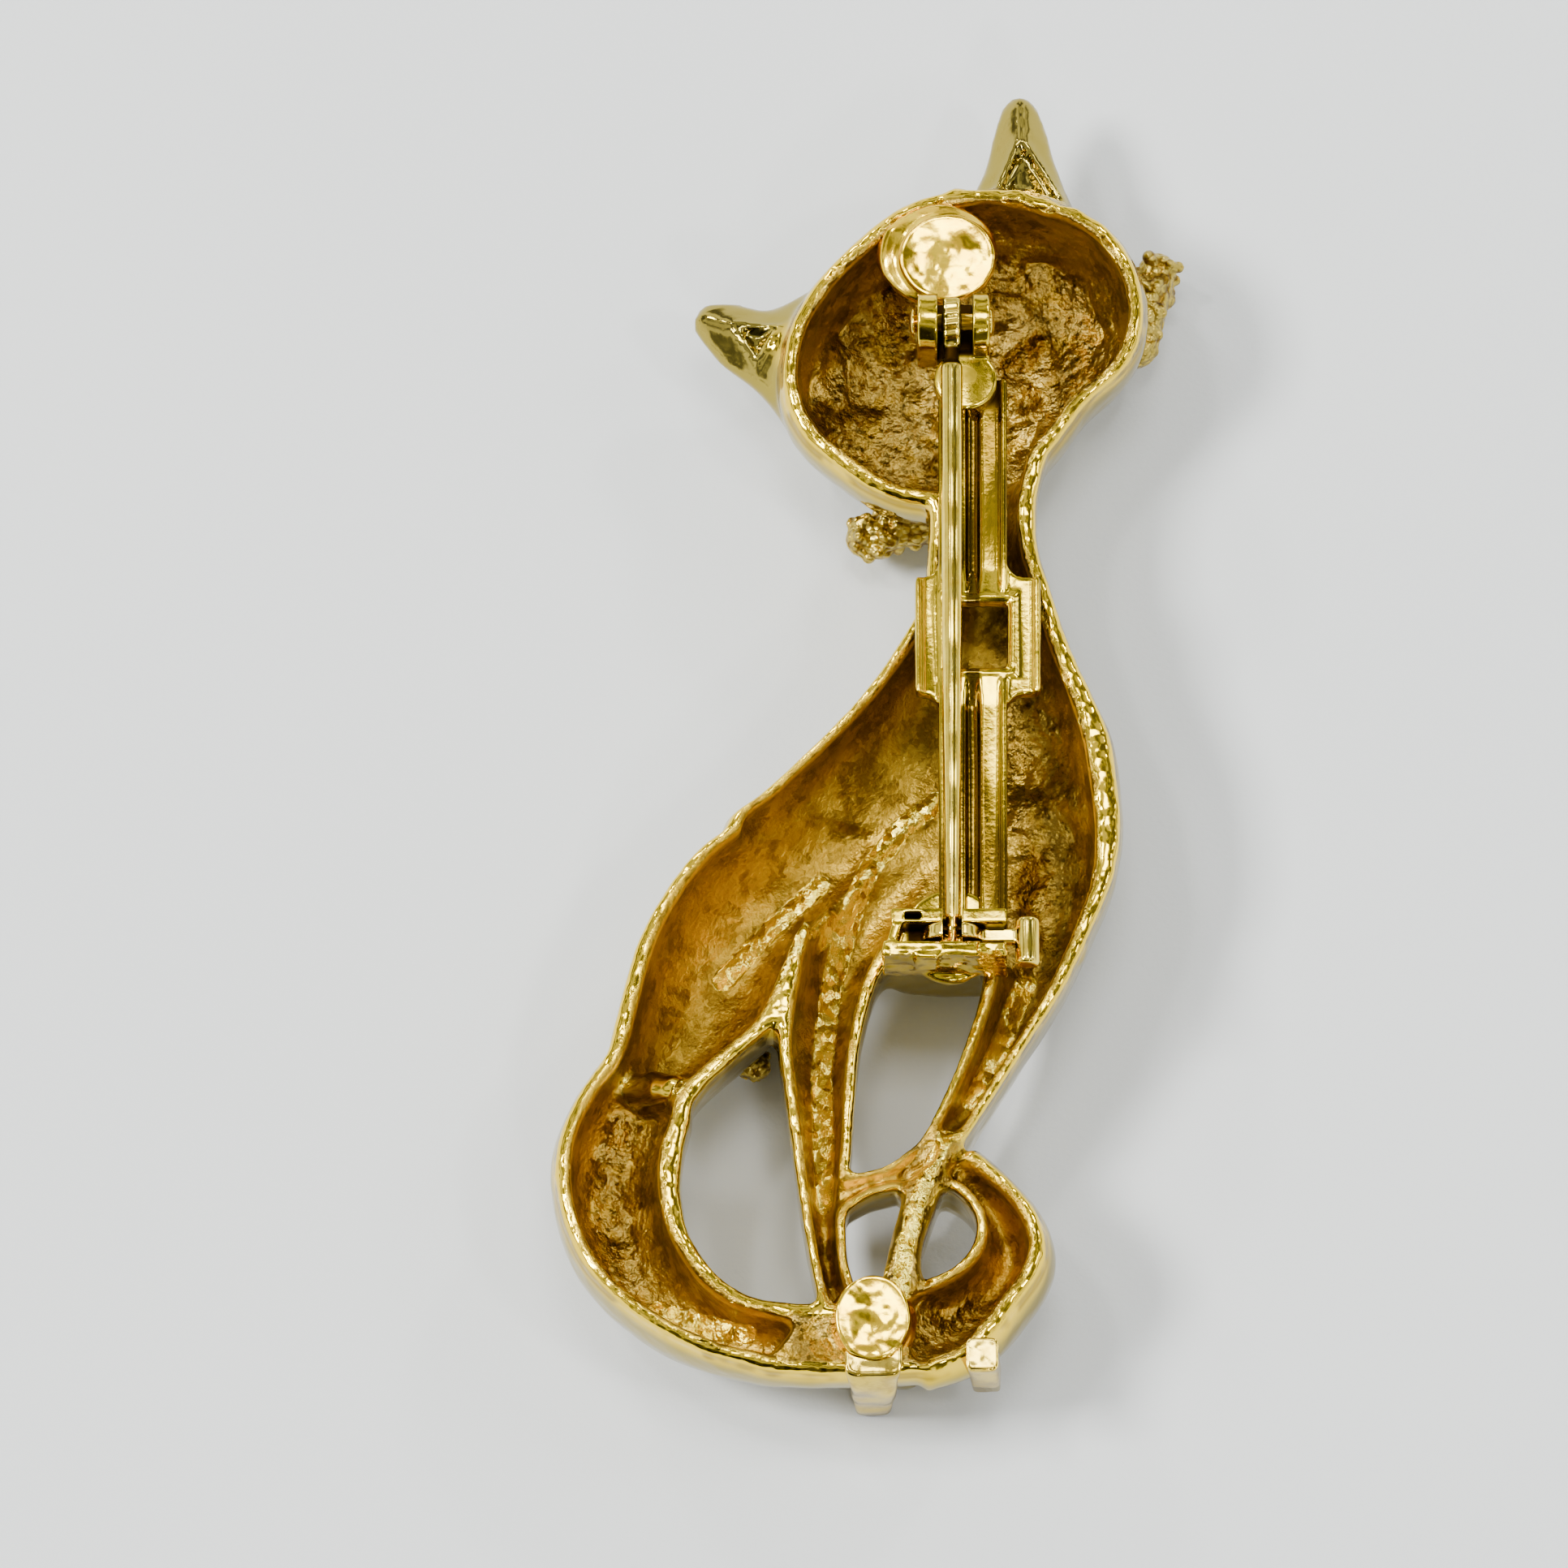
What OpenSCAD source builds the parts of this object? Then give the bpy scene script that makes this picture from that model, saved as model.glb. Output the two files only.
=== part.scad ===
// Seated cat brooch, lying face down, seen from its open back.
// The cast cat is a hollow shell: each limb is a trough that runs from one section row to the next.
// Its riveted pin back lies across the troughs: a grooved bar, a frame, a hinge and a safety catch.
// X runs to the right as the back is seen, Y from the feet to the ears, and Z up out of the open back.
// The origin is the middle of the footprint, on the table. The tables and places below are measured from
// a point on the belly, and to_origin moves them all.

/* [Casting] */
// Height of the open rim above the table
rim_z = 8; // [7:0.1:9]
// Width of the polished rim, which is the thickness of the walls
wall_t = 0.9; // [0.8:0.05:1.1]
// Thickness of the metal under each trough
floor_t = 1.2; // [0.9:0.05:1.4]
// Sections drawn between two rows of a limb's table
row_steps = 2; // [1:1:2]

/* [Bosses] */
// Diameter of the round solder pad at the crown
pad_d = 4.7; // [4:0.1:5]
// Height of the pads above the rim
pad_rise = 0.5; // [0.2:0.05:0.6]

/* [Pin back] */
// Width of the grooved bar
bar_w = 3.4; // [2.8:0.1:3.6]
// Thickness of the bar
bar_t = 0.8; // [0.6:0.05:1]
// Width of the frame in the middle of the bar
frame_w = 6.2; // [5.6:0.1:6.4]
// Length of the frame along the bar
frame_l = 6.1; // [5:0.1:6.5]
// Diameter of the round base under the catch
base_d = 4.8; // [4.2:0.1:5]

/* [Hinge and pin] */
// Thickness of each hinge ear and of the pin's flat eye
ear_t = 0.88; // [0.7:0.02:0.95]
// Gap between the eye and each ear
eye_gap = 0.5; // [0.3:0.05:0.55]
// Diameter of the hinge rivet
rivet_d = 0.9; // [0.7:0.05:1.1]
// Radial play of the eye on the rivet and of the ring in its housing
play = 0.05; // [0.03:0.01:0.08]
// Thickness of the pin stem at the hinge
stem_d = 1.08; // [0.9:0.02:1.1]
// Thickness of the pin stem just before its point
tip_d = 0.68; // [0.5:0.02:0.8]

/* [Safety catch] */
// Radius of the turning ring
ring_r = 1.5; // [1.35:0.05:1.6]
// Width of the mouths that the pin passes
mouth_w = 0.95; // [0.9:0.05:1.1]
// Reach of the ring's thumb lever from the pin
lever_l = 4.3; // [3.6:0.1:4.4]

/* [Hidden] */
gold = [0.86, 0.68, 0.28];
pale_gold = [0.93, 0.80, 0.45];
// Gap between soldered pieces, and how far a cutter runs past the metal it cuts
seat_gap = 0.05;
past = 1;
bar_z = rim_z + seat_gap;
bar_top = bar_z + bar_t;
bar_x = 5.35;
pin_x = 4.32;
hinge_y = 21.7;
axis_z = bar_top + 1.6;
catch_y = -10.33;
facets = 48;
// From the belly point to the middle of the footprint
to_origin = [-0.04, -1.46, 0];
// Thickness of the slice that is polished flat where the convex front touches the table
flat_cut = 2;

// Half of a limb's round section. Columns: across, as a share of the half width; down, as a share
// of the depth. It is widest a little under the rim.
HALF_PROFILE = [[0.96, 0], [1, 0.17], [0.985, 0.38], [0.9, 0.63], [0.7, 0.84], [0.38, 0.965]];

// The limbs. Columns: left x, left y, right x, right y, depth of the outside under the rim,
// depth of the trough under the rim. Left and right are the rim's outer edges.
NECK_AND_BACK = [
    [3.5, 15.5, 9.4, 16.7, 6.4, 5.2],
    [3.25, 13.2, 8.6, 13.9, 5.9, 4.5],
    [3.1, 10.6, 8.6, 11.0, 5.8, 4.6],
    [2.8, 8.2, 9.3, 8.6, 6.2, 4.8],
    [1.6, 5.9, 10.1, 6.1, 7, 5.2],
    [-0.3, 3.2, 11.3, 3.4, 7.6, 5.6],
    [-2.7, 0.6, 12.3, 1.0, 7.9, 5.8],
    [-5.2, -1.8, 12.7, -2.0, 8.15, 5.8],
    [-7.0, -3.7, 12.7, -4.2, 8.05, 5.8],
    [-4.4, -7.4, 12.2, -6.6, 7.5, 5.5],
    [-0.3, -9.9, 11.1, -9.3, 6.6, 4.8],
    [0.7, -10.9, 10.8, -10.3, 6, 0]];
HAUNCH = [
    [-3.9, -1.3, 4.6, -3.2, 7.6, 5.8],
    [-6.5, -3.4, 2.4, -5.2, 7.8, 6],
    [-8.3, -4.8, -0.2, -6.9, 8.1, 6.3],
    [-10.0, -7.1, -2.2, -8.9, 8.15, 6.6],
    [-11.2, -9.5, -3.2, -11.2, 8.1, 6.6],
    [-11.9, -11.9, -4.4, -13.9, 7.4, 6.1],
    [-12.3, -13.7, -6.4, -15.8, 6.8, 5.4],
    [-12.7, -15.3, -7.9, -17.3, 6.4, 4.6],
    [-13.4, -16.6, -8.6, -18.4, 6.2, 3.6]];
MIDDLE_LEG = [
    [-0.6, -2.6, 6.6, -4.6, 7, 6],
    [-2.4, -5.2, 3.2, -7.9, 7.2, 6.3],
    [-3.4, -8.4, 1.4, -10.3, 7.2, 6.2],
    [-3.9, -11.4, 0.5, -12.2, 6.8, 5.8],
    [-4.3, -14.4, -0.1, -14.6, 6.2, 5.1],
    [-4.0, -17.3, -0.4, -17.3, 5.8, 4.6],
    [-3.6, -20.3, -0.6, -20.3, 5.6, 4.2],
    [-3.2, -23.3, -0.9, -23.3, 5.6, 3.8],
    [-2.7, -26.2, -0.8, -26.2, 5.8, 3.4],
    [-2.2, -28.6, -0.2, -28.2, 6, 2.6]];
FRONT_LEG = [
    [5.4, -3.4, 12.7, -3.0, 7.8, 5.8],
    [5.6, -6.8, 12.4, -6.0, 7.2, 5.6],
    [5.9, -9.4, 11.4, -8.6, 6.8, 5.2],
    [5.7, -12.2, 9.9, -11.9, 6.2, 4.8],
    [4.8, -15.3, 8.1, -14.9, 5.8, 4.2],
    [3.8, -17.8, 6.5, -17.5, 5.6, 3.6],
    [2.9, -19.8, 5.3, -19.4, 5.6, 2.6],
    [2.2, -21.6, 4.2, -21.4, 5.8, 2],
    [1.7, -23.4, 3.4, -23.6, 6, 2],
    [1.2, -25.4, 2.8, -25.8, 6, 2],
    [0.6, -28.2, 2.9, -28.6, 6.2, 1.6]];
TAIL_LEFT = [
    [-12.9, -15.8, -8.5, -17.4, 6.2, 3.4],
    [-14.1, -17.6, -8.5, -18.9, 6.2, 4.2],
    [-15.0, -19.7, -8.9, -20.7, 6.2, 4.8],
    [-15.2, -21.8, -9.0, -22.6, 6.2, 5],
    [-14.8, -24.1, -8.7, -24.5, 6.2, 5],
    [-13.9, -26.2, -7.9, -26.0, 6.2, 4.8],
    [-12.3, -28.1, -6.9, -27.2, 6.2, 4.6],
    [-10.2, -29.7, -5.6, -28.0, 6.2, 4.2],
    [-7.9, -30.9, -4.2, -28.3, 5.4, 3.4],
    [-5.4, -31.7, -2.9, -28.4, 4.8, 2.8],
    [-4.8, -31.8, -2.6, -28.4, 4.5, 0],
    [-2.6, -32.0, -1.6, -28.4, 4, 0],
    [0.4, -32.0, 0.2, -28.3, 3.8, 0],
    [2.6, -31.9, 1.6, -28.2, 3.8, 0]];
TAIL_RIGHT = [
    [5.2, -20.4, 3.45, -22.15, 6, 1.2],
    [6.9, -21.9, 4.5, -22.6, 6, 2.6],
    [8.3, -23.6, 5.3, -23.6, 6.2, 3.6],
    [8.8, -25.4, 5.45, -24.7, 6.2, 4],
    [8.4, -26.9, 5.1, -25.7, 6.2, 4],
    [7.4, -28.4, 4.2, -26.6, 6.2, 3.8],
    [6.4, -29.8, 3.2, -27.1, 5.4, 3.2],
    [5.0, -31.1, 2.3, -27.5, 4.4, 2.4],
    [2.8, -31.9, 1.4, -28.3, 3.8, 0]];
WEB = [
    [-1.6, -21.8, -1.2, -23.6, 4.4, 0],
    [0.2, -21.4, 0.6, -22.7, 4.2, 0],
    [1.7, -20.8, 2.4, -22.2, 4.4, 0],
    [3.0, -19.4, 3.6, -21.2, 5, 0]];

// The rows whose troughs are hollow, for the limbs that end in a wall or in solid metal
BACK_HOLLOW = 11;
TAIL_LEFT_HOLLOW = 10;
TAIL_RIGHT_HOLLOW = 8;

// The head's outline about its centre. Columns: radius at each sixteenth of a turn from +X.
head_at = [5, 21.2];
head_deep = 8.15;
HEAD_R = [8.6, 9.6, 9.75, 9.1, 8.7, 8.4, 8.1, 8.5, 9.2, 9.5, 8.9, 8.7, 8.1, 7.3, 6.7, 6.8];

// The ears' sections from root to tip. Columns: left x, left y, right x, right y, lowest z, ridge z.
RIGHT_EAR = [
    [4.6, 28.4, 11.2, 27.6, 2.6, 7.6],
    [5.9, 31.4, 9.6, 31.5, 3, 6.8],
    [6.4, 33.4, 9.1, 33.4, 3.6, 6.2],
    [6.8, 34.8, 8.6, 34.8, 4, 5.7],
    [7.3, 35.4, 8.1, 35.4, 4.4, 5.3]];
LEFT_EAR = [
    [-2.0, 25.6, -3.6, 17.6, 2.6, 7.6],
    [-4.6, 24.3, -5.2, 19.9, 3, 6.8],
    [-6.3, 24.6, -6.9, 21.3, 3.6, 6.2],
    [-7.7, 24.6, -7.9, 22.5, 4, 5.7],
    [-8.3, 24.1, -8.4, 23.3, 4.4, 5.3]];

// The granulated tufts. Columns: x and y of the root, x and y of the end, radius at the end, z.
TUFTS = [
    [3.2, 14.3, 0.0, 13.2, 1.2, 2.4],
    [13.4, 23.4, 14.5, 27.2, 1.25, 2.4],
    [-7.6, -11.4, -6.0, -13.1, 0.8, 2]];

// The pads, as stacks of thin discs. Columns: x, y, height over the rim, width, length.
CROWN_PAD = [
    [3.85, 25.6, pad_rise, pad_d, pad_d],
    [3.5, 26.2, -0.4, pad_d + 1.1, pad_d + 1.1],
    [3.7, 27.0, -4.3, pad_d - 1.2, pad_d - 1.2]];
FOOT_PAD = [
    [0.75, -29.4, pad_rise, 3.1, 4.2],
    [0.5, -29.5, -0.7, 4.5, 4.7],
    [0.7, -29.8, -5.2, 4, 4]];

// The front paws. Columns: x, y, z and radius at the toes, then at the ankle.
PAWS = [
    [-0.9, -29.3, 1.45, 1.5, -0.5, -29.9, 5.4, 1.4],
    [1.9, -29.3, 1.45, 1.5, 1.3, -29.9, 5.4, 1.4]];

// The square stubs: the tapered shaft under the foot pad, and the post beside the feet.
// Columns: x and y of the corner, z, width, length.
SHAFT = [
    [-1.02, -32.1, rim_z - 0.75, 2.85, 2.75],
    [-0.5, -31.75, 0, 1.85, 2.4]];
POST = [
    [5.05, -31.95, rim_z - 0.2, 1.5, 1.6],
    [5.3, -31.6, 3.45, 1.4, 1.6]];
slice_t = 0.3;

// The pin back's places and sizes
bar_y0 = -9.6;
bar_y1 = 19.3;
groove_w = 0.72;
groove_deep = 0.35;
lip_w = 0.36;
lip_rise = 0.22;
frame_x = 5.6;
frame_y = 5.95;
frame_r = 0.3;
window = [2.9, 3.4];
window_r = 0.45;
shoulder_r = 0.8;
tongue_x = 5;
tongue_y = 19.1;
tongue_d = 3.1;
tongue_rise = 0.75;
hinge_base_rise = 0.25;
ear_x = ear_t + eye_gap;
ear_r = 1.45;
ear_bore = rivet_d + 0.04;
eye_r = 1.25;
rivet_l = 2 * ear_x + ear_t + 0.1;
rivet_head_d = rivet_d + 0.5;
rivet_head_t = 0.24;
point_l = 1.6;
point_d = 0.24;

// The catch's places and sizes
cheek_x = 3.95;
cheek_w = 6.1;
far_cheek_w = 5.7;
cheek_t = 0.75;
catch_top = axis_z + 0.9;
catch_base_t = 0.55;
block_x = 2.12;
block_w = 3.6;
block_top = axis_z - 0.45;
ring_t = 0.7;
pocket_l = ring_t + 0.24;
lever_w = 0.7;
thumb_d = 1.2;
thumb_l = 2.4;
thumb_off = [0.1, 0.3];
stem_end_y = catch_y - pocket_l / 2 + 0.1;

// A value between b and c on the smooth curve through a, b, c and d
function curve(a, b, c, d, t) =
    b + (c - a) * t / 2 + (a - 2.5 * b + 2 * c - d / 2) * t * t
    + (-a / 2 + 1.5 * b - 1.5 * c + d / 2) * t * t * t;

// More rows on the smooth curve through a table's rows
function smooth(rows, n) =
    let (last = len(rows) - 1)
    [for (i = [0 : last - 1], k = [0 : n - 1])
        curve(rows[max(i - 1, 0)], rows[i], rows[i + 1], rows[min(i + 2, last)], k / n),
        rows[last]];

function first_rows(rows, n) = [for (i = [0 : n - 1]) rows[i]];

// The whole section from the left rim through the bottom to the right rim
PROFILE = concat(
    [for (p = HALF_PROFILE) [-p[0], p[1]]],
    [[0, 1]],
    [for (i = [len(HALF_PROFILE) - 1 : -1 : 0]) HALF_PROFILE[i]]);

// A limb's section in space, moved in by inset and closed at top_z: round below, upright above the rim.
// The left wall swells out of the rim's line by swell, most at half its depth.
function trough_section(row, inset, deep, top_z, swell = 0) =
    let (
        left = [row[0], row[1]],
        right = [row[2], row[3]],
        middle = (left + right) / 2,
        half = (right - left) / 2,
        side = half * max(0.05, 1 - inset / norm(half)),
        rim = side * PROFILE[0][0],
        above = top_z > rim_z ? 1 : 0)
    concat(
        above ? [[middle[0] - rim[0], middle[1] - rim[1], top_z]] : [],
        [for (p = PROFILE)
            let (share = p[0] + (p[0] < 0 ? -1 : 0) * swell / norm(side) * sin(180 * p[1]))
            [middle[0] + side[0] * share, middle[1] + side[1] * share, rim_z - deep * p[1]]],
        above ? [[middle[0] + rim[0], middle[1] + rim[1], top_z]] : []);

// The middle of a section's points, and the direction that its outline turns about
function middle_of(s) = [for (p = s) 1] * s / len(s);
function turn_of(s) =
    [for (i = [1 : len(s) - 2]) 1] * [for (i = [1 : len(s) - 2]) cross(s[i] - s[0], s[i + 1] - s[0])];

// A solid through a list of sections that all have the same number of points
module loft(sections) {
    n = len(sections[0]);
    last = len(sections) - 1;
    ahead = turn_of(sections[0]) * (middle_of(sections[1]) - middle_of(sections[0])) > 0;
    s = ahead ? sections : [for (k = [last : -1 : 0]) sections[k]];
    polyhedron(
        points = [for (section = s, p = section) p],
        faces = concat(
            [[for (i = [0 : n - 1]) i]],
            [for (k = [0 : last - 1], i = [0 : n - 1])
                let (a = k * n + i, b = k * n + (i + 1) % n)
                for (f = [[a, a + n, b + n], [a, b + n, b]]) f],
            [[for (i = [n - 1 : -1 : 0]) last * n + i]]),
        convexity = 6);
}

// The outside of a limb, and the trough inside it
module limb(table, swell = 0) {
    loft([for (r = smooth(table, row_steps)) trough_section(r, 0, r[4], rim_z, swell)]);
}

module trough(table) {
    loft([for (r = smooth(table, row_steps)) trough_section(r, wall_t, r[5], rim_z + past)]);
}

// Radius of the head's outline at a share of a full turn, on a smooth closed curve
function head_radius(turn) =
    let (n = len(HEAD_R), at = turn * n, i = floor(at))
    curve(HEAD_R[(i + n - 1) % n], HEAD_R[i % n], HEAD_R[(i + 1) % n], HEAD_R[(i + 2) % n], at - i);

function head_ring(inset, share, z) =
    [for (i = [0 : facets - 1])
        let (a = 360 * i / facets, r = (head_radius(i / facets) - inset) * share)
        [head_at[0] + r * cos(a), head_at[1] + r * sin(a), z]];

// The head's bowl: rings of the outline that shrink and sink along the half profile to its crown
module bowl(inset, deep, top_z) {
    loft(concat(
        top_z > rim_z ? [head_ring(inset, HALF_PROFILE[0][0], top_z)] : [],
        [for (p = HALF_PROFILE) head_ring(inset, p[0], rim_z - deep * p[1])],
        [head_ring(inset, 0.12, rim_z - deep)]));
}

// A solid ear: each section has a blunt ridge towards the open back and is rounded in front
module cat_ear(table) {
    across = [-1, -0.5, 0, 0.5, 1, 0.6, 0, -0.6];
    up = [0.1, 0.7, 1, 0.7, 0.1, -0.8, -1, -0.8];
    loft([for (r = table)
        [for (i = [0 : len(across) - 1])
            let (
                x = (r[0] + r[2]) / 2 + (r[2] - r[0]) / 2 * across[i],
                y = (r[1] + r[3]) / 2 + (r[3] - r[1]) / 2 * across[i],
                z = (r[4] + r[5]) / 2 + (r[5] - r[4]) / 2 * up[i])
            [x, y, z]]]);
}

// A lobe of rounded grains: a core between its root and its end, with grains set along and round it
module tuft(t) {
    root = [t[0], t[1], t[5]];
    end = [t[2], t[3], t[5]];
    hull() {
        translate(root) sphere(r = t[4] * 0.95, $fn = 10);
        translate(end) sphere(r = t[4] * 0.75, $fn = 10);
    }
    along = end - root;
    side = [-along[1], along[0], 0] / norm(along);
    for (k = [0 : 3], j = [-1 : 1])
        let (
            ahead = along * (0.27 + 0.25 * k),
            out = side * j * t[4] * (0.7 - 0.1 * k),
            up = t[4] * (0.5 - 0.42 * j * j))
            translate(root + ahead + out + [0, 0, up]) rotate([17 * j, 9, 37 * k])
                sphere(r = t[4] * 0.42, $fn = 8);
}

// A solid through thin discs of different sizes
module pad(discs) {
    for (i = [0 : len(discs) - 2])
        hull() for (d = [discs[i], discs[i + 1]])
            translate([d[0], d[1], rim_z + d[2] - slice_t]) scale([1, d[4] / d[3], 1])
                cylinder(h = slice_t, d = d[3], $fn = 36);
}

module paw(p) {
    hull() {
        translate([p[0], p[1], p[2]]) sphere(r = p[3], $fn = 16);
        translate([p[4], p[5], p[6]]) sphere(r = p[7], $fn = 16);
    }
}

module stub(ends) {
    hull() for (q = ends) translate([q[0], q[1], q[2]]) cube([q[3], q[4], slice_t]);
}

module cast_cat() color(gold) translate(to_origin) {
    difference() {
        union() {
            bowl(0, head_deep, rim_z);
            limb(NECK_AND_BACK);
            limb(HAUNCH);
            limb(MIDDLE_LEG);
            limb(FRONT_LEG);
            limb(TAIL_LEFT, 0.3);
            limb(TAIL_RIGHT, 0.7);
            limb(WEB);
            cat_ear(RIGHT_EAR);
            cat_ear(LEFT_EAR);
            for (t = TUFTS) tuft(t);
            for (p = PAWS) paw(p);
        }
        bowl(wall_t, head_deep - floor_t, rim_z + past);
        trough(first_rows(NECK_AND_BACK, BACK_HOLLOW));
        trough(HAUNCH);
        trough(MIDDLE_LEG);
        trough(FRONT_LEG);
        trough(first_rows(TAIL_LEFT, TAIL_LEFT_HOLLOW));
        trough(first_rows(TAIL_RIGHT, TAIL_RIGHT_HOLLOW));
        translate([0, 0, -flat_cut / 2]) cube([100, 100, flat_cut], center = true);
    }
    pad(CROWN_PAD);
    pad(FOOT_PAD);
    stub(SHAFT);
    stub(POST);
}

// A plate in the plane across X: round at the top about the rivet, straight down to the base
module hinge_plate(x, thick, r, bottom_z, bore_d) {
    translate([x - thick / 2, hinge_y, axis_z]) rotate([90, 0, 90]) difference() {
        linear_extrude(thick) {
            circle(r = r, $fn = facets);
            translate([-r, bottom_z - axis_z]) square([2 * r, axis_z - bottom_z]);
        }
        translate([0, 0, -past]) cylinder(h = thick + 2 * past, d = bore_d, $fn = facets);
    }
}

// A rectangle with round corners, centred
module round_rect(w, l, r) {
    for (s = [-1, 1], t = [-1, 1])
        translate([s * (w / 2 - r), t * (l / 2 - r)]) circle(r = r, $fn = 24);
    square([w - 2 * r, l], center = true);
    square([w, l - 2 * r], center = true);
}

// The strip with its central groove and raised edges
module bar() {
    difference() {
        translate([bar_x - bar_w / 2, bar_y0, bar_z]) cube([bar_w, bar_y1 - bar_y0, bar_t + lip_rise]);
        translate([bar_x - bar_w / 2 + lip_w, bar_y0 - past, bar_top])
            cube([bar_w - 2 * lip_w, bar_y1 - bar_y0 + 2 * past, past]);
        translate([bar_x - groove_w / 2, bar_y0 - past, bar_top - groove_deep])
            cube([groove_w, bar_y1 - bar_y0 + 2 * past, past]);
    }
}

// The wide frame with its square window and its sides bent up, and the fillets where the bar meets it
module frame() {
    difference() {
        union() {
            translate([frame_x, frame_y, bar_z]) linear_extrude(bar_t) round_rect(frame_w, frame_l, frame_r);
            for (s = [-1, 1])
                translate([frame_x + s * (frame_w - lip_w) / 2, frame_y, bar_z])
                    linear_extrude(bar_t + lip_rise) square([lip_w, frame_l - 2 * frame_r], center = true);
        }
        translate([frame_x, frame_y, bar_z - past]) linear_extrude(bar_t + 2 * past)
            round_rect(window[0], window[1], window_r);
        translate([bar_x - groove_w / 2, frame_y - frame_l, bar_top - groove_deep])
            cube([groove_w, 2 * frame_l, past]);
    }
    for (s = [-1, 1], t = [-1, 1])
        translate([bar_x + s * bar_w / 2, frame_y + t * frame_l / 2, bar_z]) scale([s, t, 1])
            linear_extrude(bar_t) difference() {
                translate([-past / 2, -past / 2]) square(shoulder_r + past / 2);
                translate([shoulder_r, shoulder_r]) circle(r = shoulder_r, $fn = 32);
            }
}

// The catch's housing: two upright cheeks on a round base, with a round pocket between them
module catch_housing() {
    far_y = catch_y + pocket_l / 2;
    near_y = catch_y - pocket_l / 2 - cheek_t;
    right = cheek_x + cheek_w / 2;
    high = catch_top - bar_z;
    difference() {
        union() {
            translate([pin_x, catch_y + cheek_t, bar_z]) cylinder(h = catch_base_t, d = base_d, $fn = facets);
            translate([right - far_cheek_w, far_y, bar_z]) cube([far_cheek_w, cheek_t, high]);
            translate([right - cheek_w, near_y, bar_z]) cube([cheek_w, cheek_t, high]);
            translate([block_x, near_y, bar_z]) cube([block_w, far_y + cheek_t - near_y, block_top - bar_z]);
        }
        translate([pin_x, near_y + cheek_t, axis_z]) rotate([-90, 0, 0])
            cylinder(h = pocket_l, r = ring_r + play, $fn = facets);
        translate([pin_x, far_y - past / 2, axis_z]) rotate([-90, 0, 0])
            cylinder(h = cheek_t + past, d = mouth_w, $fn = 24);
        translate([pin_x - mouth_w / 2, far_y - past / 2, axis_z])
            cube([mouth_w, cheek_t + past, catch_top - axis_z + past]);
    }
}

module pin_back() color(gold) translate(to_origin) {
    difference() {
        bar();
        translate([frame_x, frame_y, bar_z - past]) linear_extrude(bar_t + 2 * past)
            square(window, center = true);
    }
    frame();
    translate([tongue_x, tongue_y, bar_z + bar_t / 2])
        cylinder(h = bar_t / 2 + tongue_rise, d = tongue_d, $fn = facets);
    translate([pin_x - ear_x - ear_t / 2, hinge_y - ear_r, bar_z])
        cube([2 * ear_x + ear_t, 2 * ear_r, bar_t + hinge_base_rise]);
    for (s = [-1, 1])
        hinge_plate(pin_x + s * ear_x, ear_t, ear_r, bar_top, ear_bore);
    catch_housing();
}

module hinge_rivet() color(pale_gold) translate(to_origin + [pin_x, hinge_y, axis_z]) rotate([0, 90, 0]) {
    cylinder(h = rivet_l, d = rivet_d, center = true, $fn = facets);
    for (s = [-1, 1])
        translate([0, 0, s * (rivet_l + rivet_head_t) / 2])
            cylinder(h = rivet_head_t, d = rivet_head_d, center = true, $fn = facets);
}

module pin_stem() color(pale_gold) translate(to_origin) {
    stem_y = hinge_y - eye_r + play;
    difference() {
        translate([pin_x - ear_t / 2, hinge_y, axis_z]) rotate([90, 0, 90])
            cylinder(h = ear_t, r = eye_r, $fn = facets);
        translate([pin_x - ear_t, hinge_y, axis_z]) rotate([90, 0, 90])
            cylinder(h = 2 * ear_t, r = rivet_d / 2 + play, $fn = facets);
    }
    translate([pin_x, stem_y + stem_d / 3, axis_z]) rotate([90, 0, 0])
        cylinder(h = stem_y + stem_d / 3 - stem_end_y - point_l, d1 = stem_d, d2 = tip_d, $fn = 32);
    translate([pin_x, stem_end_y + point_l, axis_z]) rotate([90, 0, 0])
        cylinder(h = point_l, d1 = tip_d, d2 = point_d, $fn = 32);
}

// The ring that turns about the pin's point to close the catch, drawn open, with its thumb lever
module catch_ring() color(pale_gold) translate(to_origin + [pin_x, catch_y, axis_z]) rotate([90, 0, 0]) {
    thumb_x = lever_l - thumb_d / 2;
    difference() {
        union() {
            cylinder(h = ring_t, r = ring_r, center = true, $fn = facets);
            translate([0, -lever_w / 2, -ring_t / 2]) cube([thumb_x, lever_w, ring_t]);
            translate([thumb_x, thumb_off[0], thumb_off[1]])
                cylinder(h = thumb_l, d = thumb_d, center = true, $fn = 32);
        }
        cylinder(h = 2 * ring_t, d = mouth_w, center = true, $fn = 24);
        translate([-mouth_w / 2, 0, -ring_t]) cube([mouth_w, 2 * ring_r, 2 * ring_t]);
    }
}

cast_cat();
pin_back();
hinge_rivet();
pin_stem();
catch_ring();
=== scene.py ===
# %% [markdown]
# # A hollow gilt cat brooch, seen from its back
# The brooch lies on its domed front, so the camera looks into the hollow casting and at the pin back that is
# soldered across it. The measured solids come in first and stay the reference for every place and size.

# %% Load the measured solids
import math

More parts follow.
